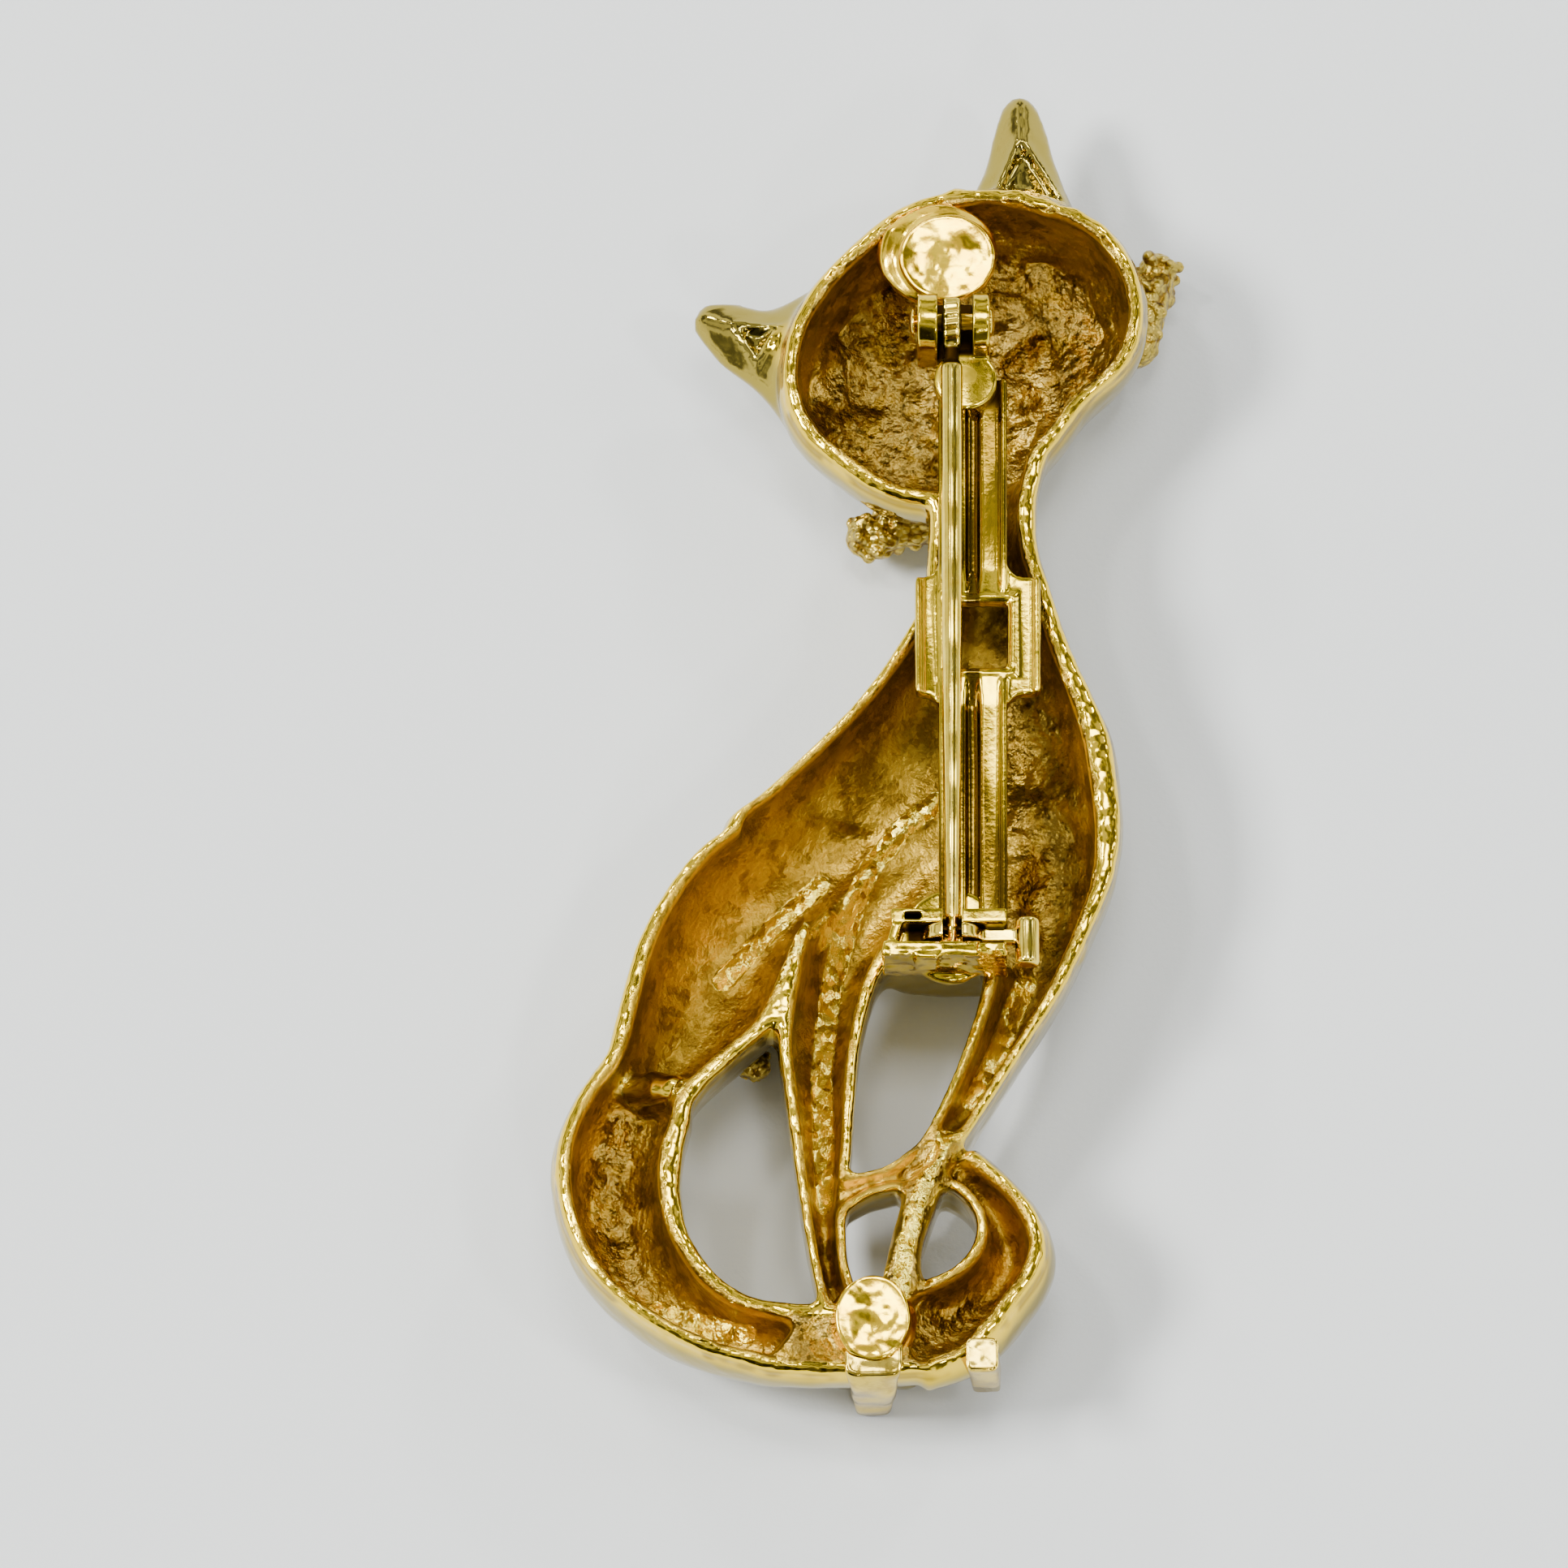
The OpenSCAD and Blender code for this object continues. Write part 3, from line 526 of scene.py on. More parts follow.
# The bumps fade out towards the rim. The head and the right side of the torso are crumbled most.
depth = np.clip((RIM - 0.6 - co[:, 2]) / 2.5, 0, 1)
crumbled = np.maximum(ramp(co[:, 1], 14.0, 16.5), 0.9 * ramp(co[:, 0], 5.5, 7.5) * ramp(co[:, 1], -12, -9))
on_floor = ramp(-outward(hollow)[:, 2], 0.3, 0.7)
lumps = (0.03 + 0.1 * crumbled) * bumps(co, 1.1, 2) + (0.02 + 0.05 * crumbled) * bumps(co, 0.55, 3) \
    + 0.06 * bumps(co, 2.6, 4) + 0.3 * crumbled * on_floor * ramp(bumps(co, 1.5, 7), -0.1, 0.12)
# A low crest runs along each line of painted glints.
crest = np.exp(-(to_glint_lines(co) / 0.36) ** 2) * on_floor
co[:, 2] += crest * (0.34 + 0.12 * bumps(co, 0.5, 12))
set_points(hollow, co + outward(hollow) * (depth * lumps)[:, None])
fine = points_of(hollow)
print("hollow:", len(hollow.polygons), "faces; deepest point", round(fine[:, 2].min(), 2), "mm over the table")

cast = combined(shell, hollow, "DIFFERENCE")
# The partition: a row of posts with round tops, melted into one wall.
ridge = [stack_grid([[x, y, 2.6, 0.9 * r, 0.9 * r], [x, y, z - r, r, r], [x, y, z - 0.4 * r, 0.85 * r, 0.85 * r],
                     [x, y, z - 0.05 * r, 0.3 * r, 0.3 * r]], 3, 24) for x, y, z, r in spread(PARTITION, 5)]
ridge = melted(mesh_of("ridge", ridge), VOXEL)
co = points_of(ridge)
set_points(ridge, co + outward(ridge) * (0.12 * bumps(co, 0.7, 6))[:, None])
cast = combined(cast, ridge, "UNION")
print("shell:", len(cast.polygons), "faces")

# %% [markdown]
# Melting the shell once more rounds the rim, as the polishing wheel does. The finish differs between the
# polished outside and the raw troughs, so each point also remembers if it lies in a trough: it does if its
# small cell of space holds a point of the trough's own surface.

# %% The finished casting
LAST_VOXEL, CELL = 0.245, 0.16


def near_surface(co, surface, cell_size):
    """1 where a point's cell, or a cell beside it, holds a point of the surface."""
    low = np.minimum(co.min(0), surface.min(0)) - 2 * cell_size
    size = np.ceil((np.maximum(co.max(0), surface.max(0)) - low) / cell_size).astype(int) + 3
    filled = np.zeros(size, bool)
    at = np.floor((surface - low) / cell_size).astype(int)
    for step in np.ndindex(3, 3, 3):
        filled[tuple((at + np.array(step) - 1).T)] = True
    at = np.floor((co - low) / cell_size).astype(int)
    return filled[tuple(at.T)].astype(float)


def add_attribute(mesh, name, values):
    """One value at each point, which a finish can read by its name."""
    mesh.attributes.new(name, "FLOAT", "POINT").data.foreach_set("value", values.astype(np.float32))


# Plan lines in mm: the front leg's solid lower end, and the crust on the tail's floor.
ROD = np.array([[4.1, -19.6], [3.2, -21.5], [2.55, -23.5], [2.0, -25.6], [1.75, -28.2]])
TAIL_CRUST = np.array([[-11.9, -17.8], [-12.6, -20.0], [-12.4, -23.4], [-11.4, -25.6]])
# Recesses in the backs of the ears, in mm. Rows: corners, then the depth, then the height of the ear there.
RECESSES = [([7.75, 32.9], [6.5, 29.9], [9.9, 29.5], 0.8), ([-6.5, 23.1], [-5.3, 21.2], [-4.3, 22.8], 0.6)]


def inside_triangle(plan, corners):
    """Distance to the nearest side, positive inside: each side gives cross(side, p - corner) / length."""
    a = np.array(corners)
    side = np.roll(a, -1, axis=0) - a
    side = side / np.linalg.norm(side, axis=1, keepdims=True)
    off = plan[:, None] - a[None]
    return (side[:, 0] * off[..., 1] - side[:, 1] * off[..., 0]).min(axis=1)


cast = melted(cast, LAST_VOXEL)
pairs = edges_of(cast)
co = relaxed(points_of(cast), pairs, 2)
# The rim alone is softened three times more.
for _ in range(3):
    soft = ramp(co[:, 2], 7.0, 7.6)[:, None]
    co = co + 0.5 * soft * (neighbour_mean(co, pairs) - co)
up_facing = ramp(outward(cast)[:, 2], 0.0, 0.5)
# The front leg's lower end is rounded like a rod, the ears are recessed and the brow is dented.
to_rod = from_line(co[:, :2], ROD)
rod = ramp(co[:, 2], 6.4, 7.2) * (1 - ramp(to_rod, 0.9, 1.5)) * ramp(-co[:, 1], 19.4, 20.4)
co[:, 2] += rod * (0.15 - 0.55 * np.minimum(to_rod, 1.1) ** 2 + 0.16 * bumps(co, 0.8, 8))
for *corners, deep in RECESSES:
    inner_way = inside_triangle(co[:, :2], corners)
    co[:, 2] -= up_facing * (deep * ramp(inner_way, 0.0, 0.35) - 0.12 * np.exp(-(inner_way / 0.22) ** 2)) \
        * ramp(co[:, 2], 3.5, 4.5)
brow = np.exp(-((co[:, 1] - 29.3) / 1.2) ** 2) * ramp(co[:, 2], 6.2, 7.0) * ramp(co[:, 0], 3.8, 4.6)
co = co + outward(cast) * (brow * 0.22 * bumps(co, 0.75, 9) + 0.025 * bumps(co, 0.9, 10))[:, None]
co[:, 2] = np.maximum(co[:, 2], 0)
set_points(cast, co)
# Masks for the finish: the hollow, the crusts on its floors, and the lines of painted glints.
hollow_mask = near_surface(co, fine, CELL) * ramp(outward(cast)[:, 2], -0.5, -0.2)
for _ in range(3):
    hollow_mask = 0.5 * hollow_mask + 0.5 * neighbour_mean(hollow_mask, pairs)
add_attribute(cast, "hollow", np.maximum(hollow_mask, 0.8 * rod))
# Crusts: the head, the torso's right side, the tail's left part and its end, the rod, and one line.
x, y, z = co.T
crust_mask = np.maximum.reduce([
    ramp(y, 14.5, 17.0), 0.8 * ramp(x, 6.0, 7.5) * ramp(y, -14, -10), 0.35 * ramp(-y, 17.5, 19.5) * (x < -3),
    0.9 * ramp(-y, 26.5, 28.0) * ramp(x, -5.2, -4.6), rod,
    np.exp(-(from_line(co[:, :2], TAIL_CRUST) / 1.0) ** 4)])
add_attribute(cast, "crust", crust_mask)
# Where the glints are painted: along the glint lines and along the rod.
glint_line = np.minimum(to_glint_lines(co), from_line(co[:, :2], ROD) + 0.1)
add_attribute(cast, "glint_line", np.maximum(hollow_mask, rod) * up_facing * np.exp(-(glint_line / 0.52) ** 2))
print("finished casting:", len(cast.polygons), "faces,", round(100 * hollow_mask.mean()), "% of it in the hollow")

# %% [markdown]
# The granulated tufts, the two sawn-off sprues that were filed into pads, and the square post sit on the
# casting. They are finer than the melted skin can show, so they are meshes of their own.

# %% Tufts, pads and post
# Discs in mm. Columns: x, y, z, half width, half length.
CROWN_PAD = [
    [4.1, 25.85, 8.5, 2.2, 2.05],
    [4.1, 25.85, 8.45, 2.32, 2.16],
    [4.08, 25.9, 8.15, 2.42, 2.24],
    [3.7, 26.2, 7.9, 2.85, 2.6],
    [3.6, 26.3, 7.5, 2.98, 2.68],
    [3.6, 26.4, 7.0, 2.8, 2.6],
    [3.7, 27.0, 3.7, 1.75, 1.75]]
FOOT_PAD = [
    [0.42, -29.4, 8.5, 1.72, 2.0],
    [0.42, -29.4, 8.43, 1.84, 2.12],
    [0.42, -29.4, 8.0, 1.92, 2.18],
    [0.4, -29.45, 7.7, 2.1, 2.3],
    [0.4, -29.5, 7.2, 2.2, 2.3],
    [0.5, -29.5, 5.0, 1.9, 2.1],
    [0.5, -29.5, 2.8, 1.6, 1.8]]
POST = [
    [5.8, -31.15, 8.1, 0.68, 0.73],
    [5.8, -31.15, 8.03, 0.76, 0.81],
    [5.8, -31.15, 7.6, 0.78, 0.82],
    [6.0, -30.8, 3.45, 0.72, 0.82]]
STUB = [
    [0.45, -30.85, 8.1, 1.3, 1.3],
    [0.45, -30.9, 7.95, 1.42, 1.42],
    [0.45, -31.0, 7.0, 1.32, 1.45],
    [0.45, -31.0, 5.0, 1.18, 1.45],
    [0.45, -30.8, 2.4, 1.02, 1.25],
    [0.45, -30.7, 0.5, 0.92, 1.12],
    [0.45, -30.7, 0.35, 0.82, 1.02]]


def with_face(rows, rings=8):
    """The stack with more rings inside its first one, so that the flat face has points to be uneven with."""
    first = np.asarray(rows[0], float)
    share = np.linspace(0.04, 0.94, rings)[:, None]
    inner = np.tile(first, (rings, 1))
    inner[:, 3:5] = first[3:5] * share
    return np.vstack([inner, rows])


TUFT_VOXEL = 0.11
tufts = []
for k, t in enumerate(TUFTS):
    core = np.array([*t[0:2], t[5]]), np.array([*t[2:4], t[5]])
    tufts += [ball_grid(core[0] * (1 - s) + core[1] * s, t[4] * (0.98 - 0.2 * s)) for s in np.linspace(0, 1, 7)]
    tufts += tuft_grids(t, GRAINS, 20 + k)
tufts = combined(melted(mesh_of("tufts", tufts), TUFT_VOXEL), hollow, "DIFFERENCE")
set_points(tufts, relaxed(points_of(tufts), edges_of(tufts), 1))
crown_pad = mesh_of("crown_pad", [stack_grid(with_face(CROWN_PAD), 3, 72)])
foot_pad = mesh_of("foot_pad", [stack_grid(with_face(FOOT_PAD), 3, 72)])
post = mesh_of("square_post", [squared(stack_grid(with_face(POST), 3, 64))])
stub = mesh_of("foot_stub", [squared(stack_grid(with_face(STUB), 3, 64))])
# Columns: mesh, size and height of its dents, and the y round which its face is tilted.
for mesh, size, deep, middle in (
        (crown_pad, 1.3, 0.09, 25.8), (foot_pad, 0.9, 0.11, -29.4), (post, 0.7, 0.04, -31), (stub, 1.0, 0.05, -31)):
    co = points_of(mesh)
    co[:, 2] += ramp(co[:, 2], 7.6, 8.2) * 0.07 * (co[:, 1] - middle)
    set_points(mesh, co + outward(mesh) * (deep * bumps(co, size, 31) + 0.02 * bumps(co, 0.35, 32))[:, None])
print("tufts:", len(tufts.polygons), "faces; crown pad:", len(crown_pad.polygons), "faces")

# %% [markdown]
# ## The pin back
# The strip is stamped from sheet: a bar with a groove and raised edges, which widens into a frame with a
# window. Its top is one height formula over the plan, and each stretch is a sheet of points under it.

# %% The strip's height
# Sizes in mm. Names that end in W, L, T, R and D are a width, length, thickness, radius and diameter.
BAR_X, BAR_Y0, BAR_Y1 = 5.35, -9.6, 19.3
BAR_W, BAR_T, BAR_Z = 3.4, 0.8, 8.05
BAR_TOP = BAR_Z + BAR_T
GROOVE_W, GROOVE_DEEP, LIP_W, LIP_RISE, COLLAR_RISE = 0.72, 0.35, 0.36, 0.22, 0.16
FRAME_AT, FRAME_W, FRAME_L = np.array([5.6, 5.95]), 6.2, 6.1
WINDOW = np.array([2.9, 3.4])


def strip_top(x, y):
    """Height of the strip: flat, less the groove, plus a round bead along the bar's or the frame's edges and a
    collar round the window, COLLAR_RISE * exp(-((distance - 0.3) / 0.2)^2)."""
    off = np.abs(x - BAR_X)
    groove = GROOVE_DEEP * (1 - ramp(off, GROOVE_W / 2 - 0.14, GROOVE_W / 2 + 0.04))
    in_frame = np.abs(y - FRAME_AT[1]) < FRAME_L / 2
    from_edge = np.where(in_frame, FRAME_W / 2 - np.abs(x - FRAME_AT[0]), BAR_W / 2 - off)
    bead = LIP_RISE * np.sqrt(np.clip(1 - ((from_edge - LIP_W / 2) / (LIP_W / 2)) ** 2, 0, 1))
    to_window = np.maximum(np.abs(x - FRAME_AT[0]) - WINDOW[0] / 2, np.abs(y - FRAME_AT[1]) - WINDOW[1] / 2)
    collar = COLLAR_RISE * np.exp(-((to_window - 0.3) / 0.2) ** 2)
    return BAR_TOP - groove * ramp(to_window, 0.3, 0.6) + np.maximum(bead, collar)


def sheet_rows(plan):
    """Closed sections of a sheet: its top from one edge to the other, then straight down and back along the
    underside. The plan is a grid of x and y."""
    top = np.dstack([plan, strip_top(plan[..., 0], plan[..., 1])])
    under = np.dstack([plan, np.full(plan.shape[:2], BAR_Z)])[:, ::-1]
    return np.concatenate([top, under], axis=1)


print("the strip is", round(float(strip_top(BAR_X, 0.0)), 2), "mm high in the groove")


# %% Its two bars and its frame
def bar_plan(y0, y1):
    """The plan of a stretch of the bar."""
    x = BAR_X + np.linspace(-BAR_W / 2, BAR_W / 2, 61)
    y = np.linspace(y0, y1, 9)
    return np.stack(np.broadcast_arrays(x[None], y[:, None]), -1)


def rounded_box(size, radius, count=240):
    """Points round a rectangle with round corners: each angle's ray meets |x/a|^n + |y/b|^n = 1, where a large
    n makes the corners tight."""
    a = np.linspace(0, 2 * np.pi, count, endpoint=False)
    n = 2 * size.min() / radius
    c, s = np.cos(a), np.sin(a)
    r = (np.abs(c / (size[0] / 2)) ** n + np.abs(s / (size[1] / 2)) ** n) ** (-1 / n)
    return np.stack([r * c, r * s], 1)


def frame_plan():
    """From the window's edge to the frame's edge, all round."""
    outer = FRAME_AT + rounded_box(np.array([FRAME_W, FRAME_L]), 0.5)
    inner = FRAME_AT + rounded_box(WINDOW, 0.45)
    share = np.linspace(0, 1, 41)[None, :, None]
    return inner[:, None] * (1 - share) + outer[:, None] * share


def ring_skin(grid):
    """Quads wrapped both ways, for a closed ring."""
    n, k, _ = grid.shape
    i, j = np.arange(n)[:, None] * k, np.arange(k)[None]
    ahead, after = (np.arange(n)[:, None] + 1) % n * k, (j + 1) % k
    return grid.reshape(-1, 3), np.stack([i + j, i + after, ahead + after, ahead + j], -1).reshape(-1, 4).tolist()


def prism(outline, low, high, axis=2):
    """A flat outline carried from low to high along an axis."""
    outline = np.asarray(outline, float)
    grid = np.empty((2, len(outline), 3))
    grid[..., [k for k in range(3) if k != axis]] = outline[None]
    grid[0, :, axis], grid[1, :, axis] = low, high
    return grid


def fillet(x_sign, y_sign, radius=0.8):
    """The plan of the metal left in a corner outside a quarter circle."""
    a = np.linspace(np.pi, 1.5 * np.pi, 12)
    arc = radius + radius * np.stack([np.cos(a), np.sin(a)], 1)
    outline = np.vstack([[[-0.4, -0.4], [-0.4, radius]], arc, [[radius, -0.4]]])
    corner = np.array([BAR_X + x_sign * BAR_W / 2, FRAME_AT[1] + y_sign * FRAME_L / 2])
    return corner + outline * [x_sign, y_sign]


below, above = FRAME_AT[1] - WINDOW[1] / 2 - 0.2, FRAME_AT[1] + WINDOW[1] / 2 + 0.2
strip = mesh_of("strip", [sheet_rows(bar_plan(BAR_Y0, below)), sheet_rows(bar_plan(above, BAR_Y1))]
                + [prism(fillet(s, t), BAR_Z, BAR_TOP) for s in (-1, 1) for t in (-1, 1)])
print("bars and fillets:", len(strip.polygons), "faces")

# %% [markdown]
# The frame runs right round its window, so its skin wraps both ways. It overlaps the bars, and a fine melt makes
# one stamped strip of them, with the slightly soft edges that a press leaves.

# %% The melted strip
STRIP_VOXEL, HINGE_VOXEL, PIN_VOXELS, CATCH_VOXELS = 0.1, 0.09, (0.06, 0.07), (0.07, 0.075)


def soft_melt(mesh, size):
    """Melts a mesh and relaxes it, which rounds its edges by about one voxel."""
    made = melted(mesh, size)
    set_points(made, relaxed(points_of(made), edges_of(made), 1))
    return made


def drilled(mesh, holes, first_size, last_size):
    """The melted mesh less the holes, melted again with soft edges."""
    return soft_melt(combined(melted(mesh, first_size), mesh_of("holes", holes), "DIFFERENCE"), last_size)


frame_ring = mesh_from("frame", [ring_skin(sheet_rows(frame_plan()))])
strip = soft_melt(combined(strip, frame_ring, "UNION"), STRIP_VOXEL)
print("strip:", len(strip.polygons), "faces")

# %% [markdown]
# The hinge is two upright ears on a round base, and the catch is a pair of cheeks with a pocket between them,
# where the ring turns. Both are built from flat outlines carried through their thickness.

# %% Hinge bracket
PIN_X, HINGE_Y, AXIS_Z = 4.32, 21.7, BAR_TOP + 1.6
EAR_T, EYE_GAP, EAR_R, EYE_R = 0.88, 0.5, 1.45, 1.25
TONGUE, TONGUE_R, TONGUE_RISE, HINGE_BASE_RISE = (5.0, 19.0), 1.55, 0.95, 0.25


def disc_rows(x, y, radius, low, high, edge=0.1):
    """A thin disc with rounded edges, as stacked ellipses."""
    return [[x, y, low, radius - edge, radius - edge], [x, y, low + edge, radius, radius],
            [x, y, high - edge, radius, radius], [x, y, high, radius - edge, radius - edge]]


def arch(y, z, radius, bottom, toe, count=40):
    """A half circle on two legs, in the plane across X. The leg towards -Y ends in a toe."""
    a = np.linspace(0, np.pi, count)
    top = np.stack([y + radius * np.cos(a), z + radius * np.sin(a)], 1)
    return np.vstack([top, [[y - radius - 0.1 * toe, z - 0.6], [y - radius - toe, bottom], [y + radius, bottom]]])


EAR_LEFT, EAR_RIGHT = (2.62, 3.62), (5.34, 6.2)
base_outline = [[EAR_LEFT[0], HINGE_Y - EAR_R], [EAR_RIGHT[1], HINGE_Y - EAR_R], [EAR_RIGHT[1], HINGE_Y + EAR_R],
                [EAR_LEFT[0], HINGE_Y + EAR_R]]
hinge = mesh_of("hinge", [
    stack_grid(disc_rows(*TONGUE, TONGUE_R, BAR_Z + 0.4, BAR_TOP + TONGUE_RISE), 1, 72),
    prism(base_outline, BAR_Z + 0.45, BAR_TOP + HINGE_BASE_RISE)]
    + [prism(arch(HINGE_Y, AXIS_Z, EAR_R, low, toe), *ear, 0)
       for ear, toe, low in ((EAR_LEFT, 0.2, BAR_Z + 0.45), (EAR_RIGHT, 0.85, BAR_TOP + 0.3))])
hinge = soft_melt(hinge, HINGE_VOXEL)
print("hinge bracket:", len(hinge.polygons), "faces")

# %% Rivet and pin
RIVET_D, RIVET_HEAD_D, RIVET_HEAD_T = 0.9, 1.4, 0.24
RIVET_L = 2 * (EAR_T + EYE_GAP) + EAR_T + 0.1
STEM_D, TIP_D, POINT_D, POINT_L, PLAY = 1.08, 0.68, 0.24, 1.6, 0.05
CATCH_Y, RING_T = -10.33, 0.7
POCKET_L = RING_T + 0.24
STEM_END_Y = CATCH_Y - POCKET_L / 2 + 0.1


def turned(profile, axis, centre, around=40):
    """A profile of places along an axis and radii, turned about it. Columns: place, radius."""
    profile = np.asarray(profile, float)
    a = np.linspace(0, 2 * np.pi, around, endpoint=False)
    other = [k for k in range(3) if k != axis]
    grid = np.empty((len(profile), around, 3))
    grid[..., axis] = centre[axis] + profile[:, 0:1]
    grid[..., other[0]] = centre[other[0]] + profile[:, 1:2] * np.cos(a)
    grid[..., other[1]] = centre[other[1]] + profile[:, 1:2] * np.sin(a)
    return grid


def domed(length, shaft, head, dome):
    """A rivet's profile: a dome is radius * cos(v) wide where it is dome * sin(v) high."""
    v = np.linspace(0, 0.94 * np.pi / 2, 9)
    half = np.stack([length / 2 + 0.05 + (dome - 0.05) * np.sin(v), head * np.cos(v)], 1)
    side = np.vstack([[[0, shaft], [length / 2, shaft], [length / 2, head]], half])
    return np.vstack([side[::-1] * [-1, 1], side[1:]])


HINGE_AT = (PIN_X, HINGE_Y, AXIS_Z)
rivet = mesh_of("rivet", [turned(domed(RIVET_L, RIVET_D / 2, RIVET_HEAD_D / 2, RIVET_HEAD_T), 0, HINGE_AT)])
stem_length = HINGE_Y - STEM_END_Y
# Profiles. Columns: place along the axis, radius.
STEM = [[-0.55, 0.2], [-0.6, 0.34], [-1.9, 0.36], [-2.15, 0.46], [-2.35, 0.53], [-4, STEM_D / 2],
        [-stem_length / 2, 0.49], [-stem_length + POINT_L + 1, TIP_D / 2 + 0.02], [-stem_length + POINT_L, TIP_D / 2],
        [-stem_length + POINT_L / 2, 0.26], [-stem_length + 0.25, POINT_D / 2 + 0.03], [-stem_length, POINT_D / 2]]
EYE = [[-EAR_T / 2, EYE_R - 0.12], [-EAR_T / 2 + 0.1, EYE_R], [EAR_T / 2 - 0.1, EYE_R], [EAR_T / 2, EYE_R - 0.12]]
HOLE = [[-1, RIVET_D / 2 + PLAY], [1, RIVET_D / 2 + PLAY]]
pin = drilled(mesh_of("pin", [turned(spread(STEM, 6), 1, HINGE_AT), turned(EYE, 0, HINGE_AT)]),
              [turned(HOLE, 0, HINGE_AT)], *PIN_VOXELS)
# The eye's edge is milled: TEETH waves round it, slightly slanted.
TEETH = 13
co = points_of(pin)
spoke = co - np.array(HINGE_AT)
reach = np.linalg.norm(spoke[:, 1:], axis=1)
teeth = ramp(reach, EYE_R - 0.25, EYE_R - 0.1) * (reach < EYE_R + 0.1)
spoke[:, 0] = 0
tooth = 0.07 * np.cos(TEETH * np.arctan2(spoke[:, 2], spoke[:, 1]) + 1.5 * (co[:, 0] - PIN_X)) - 0.05
set_points(pin, co + teeth[:, None] * tooth[:, None] * spoke / np.maximum(reach, 0.1)[:, None])
print("pin:", len(pin.polygons), "faces; rivet:", len(rivet.polygons), "faces")

# %% Catch housing and ring
CHEEK_X, CHEEK_W, FAR_CHEEK_W, CHEEK_T = 3.95, 6.1, 5.7, 0.75
BASE_R = 2.4
CATCH_TOP, CATCH_BASE_T = AXIS_Z + 0.9, 0.55
BLOCK_X, BLOCK_W, BLOCK_TOP = 1.4, 5.0, AXIS_Z - 0.45
RING_R, MOUTH_W, LEVER_L, LEVER_W, THUMB_D, THUMB_L = 1.5, 0.95, 4.3, 0.7, 1.2, 2.4
FAR_Y, NEAR_Y = CATCH_Y + POCKET_L / 2, CATCH_Y - POCKET_L / 2 - CHEEK_T
CHEEK_RIGHT = CHEEK_X + CHEEK_W / 2


def box(x0, x1, y0, y1, z0, z1):
    """A block between two values on each axis."""
    return prism([[x0, y0], [x1, y0], [x1, y1], [x0, y1]], z0, z1)


def slot_outline(x, z, width, top):
    """A half circle below and straight sides up to the top, in the plane across Y."""
    a = np.linspace(np.pi, 2 * np.pi, 20)
    low = np.stack([x + width / 2 * np.cos(a), z + width / 2 * np.sin(a)], 1)
    return np.vstack([low, [[x + width / 2, top], [x - width / 2, top]]])


# Base, far and near cheek, block. The last four are a slanted plate and lumps of the crumbly solder.
housing = mesh_of("housing", [
    stack_grid(disc_rows(PIN_X, CATCH_Y + CHEEK_T, BASE_R, BAR_Z, BAR_Z + CATCH_BASE_T), 1, 72),
    box(CHEEK_RIGHT - FAR_CHEEK_W, CHEEK_RIGHT, FAR_Y, FAR_Y + CHEEK_T, BAR_Z, CATCH_TOP),
    box(CHEEK_RIGHT - CHEEK_W, CHEEK_RIGHT, NEAR_Y, NEAR_Y + CHEEK_T, BAR_Z, CATCH_TOP),
    box(BLOCK_X, BLOCK_X + BLOCK_W, NEAR_Y, FAR_Y + CHEEK_T, BAR_Z, BLOCK_TOP),
    prism([[0.9, NEAR_Y + 0.05], [1.3, NEAR_Y + 0.05], [2.1, FAR_Y + CHEEK_T], [1.6, FAR_Y + CHEEK_T]],
          BAR_Z, CATCH_TOP - 0.05),
    box(2.5, 3.6, NEAR_Y - 0.18, NEAR_Y + 0.1, AXIS_Z - 1.2, CATCH_TOP + 0.05),
    box(5.6, CHEEK_RIGHT - 0.1, NEAR_Y + 0.1, NEAR_Y + 0.6, AXIS_Z, CATCH_TOP + 0.2),
    box(5.95, CHEEK_RIGHT - 0.1, FAR_Y - 0.2, FAR_Y + 0.6, AXIS_Z - 0.2, CATCH_TOP - 0.25)])
RING_AT = (PIN_X, CATCH_Y, AXIS_Z)
pocket = turned([[-POCKET_L / 2, RING_R + PLAY], [POCKET_L / 2, RING_R + PLAY]], 1, RING_AT, 72)
mouth = prism(slot_outline(PIN_X, AXIS_Z, MOUTH_W, CATCH_TOP + 1), FAR_Y - 0.2, FAR_Y + CHEEK_T + 0.5, 1)
slot = box(1.95, 2.8, FAR_Y + 0.18, FAR_Y + 0.56, CATCH_TOP - 0.9, CATCH_TOP + 1)
housing = drilled(housing, [pocket, mouth, slot], *CATCH_VOXELS)
co = points_of(housing)
solder = (1 - ramp(co[:, 1], NEAR_Y + 0.2, NEAR_Y + 0.5)) * (0.09 * bumps(co, 0.8, 51) + 0.05 * bumps(co, 0.4, 52))
set_points(housing, co + outward(housing) * solder[:, None])
ring = mesh_of("ring", [
    turned([[-RING_T / 2, RING_R], [RING_T / 2, RING_R]], 1, RING_AT, 72),
    box(PIN_X, PIN_X + LEVER_L - THUMB_D / 2, CATCH_Y - RING_T / 2, CATCH_Y + RING_T / 2,
        AXIS_Z - LEVER_W / 2, AXIS_Z + LEVER_W / 2),
    turned([[-THUMB_L / 2, THUMB_D / 2 - 0.1], [-THUMB_L / 2 + 0.1, THUMB_D / 2], [THUMB_L / 2 - 0.1, THUMB_D / 2],
            [THUMB_L / 2, THUMB_D / 2 - 0.1]], 1, (PIN_X + LEVER_L - THUMB_D / 2, CATCH_Y - 0.3, AXIS_Z + 0.1))])
gap = prism(slot_outline(PIN_X, AXIS_Z, MOUTH_W, AXIS_Z + 2 * RING_R), CATCH_Y - RING_T, CATCH_Y + RING_T, 1)
ring = drilled(ring, [gap], *CATCH_VOXELS)
print("catch housing:", len(housing.polygons), "faces; ring:", len(ring.polygons), "faces")

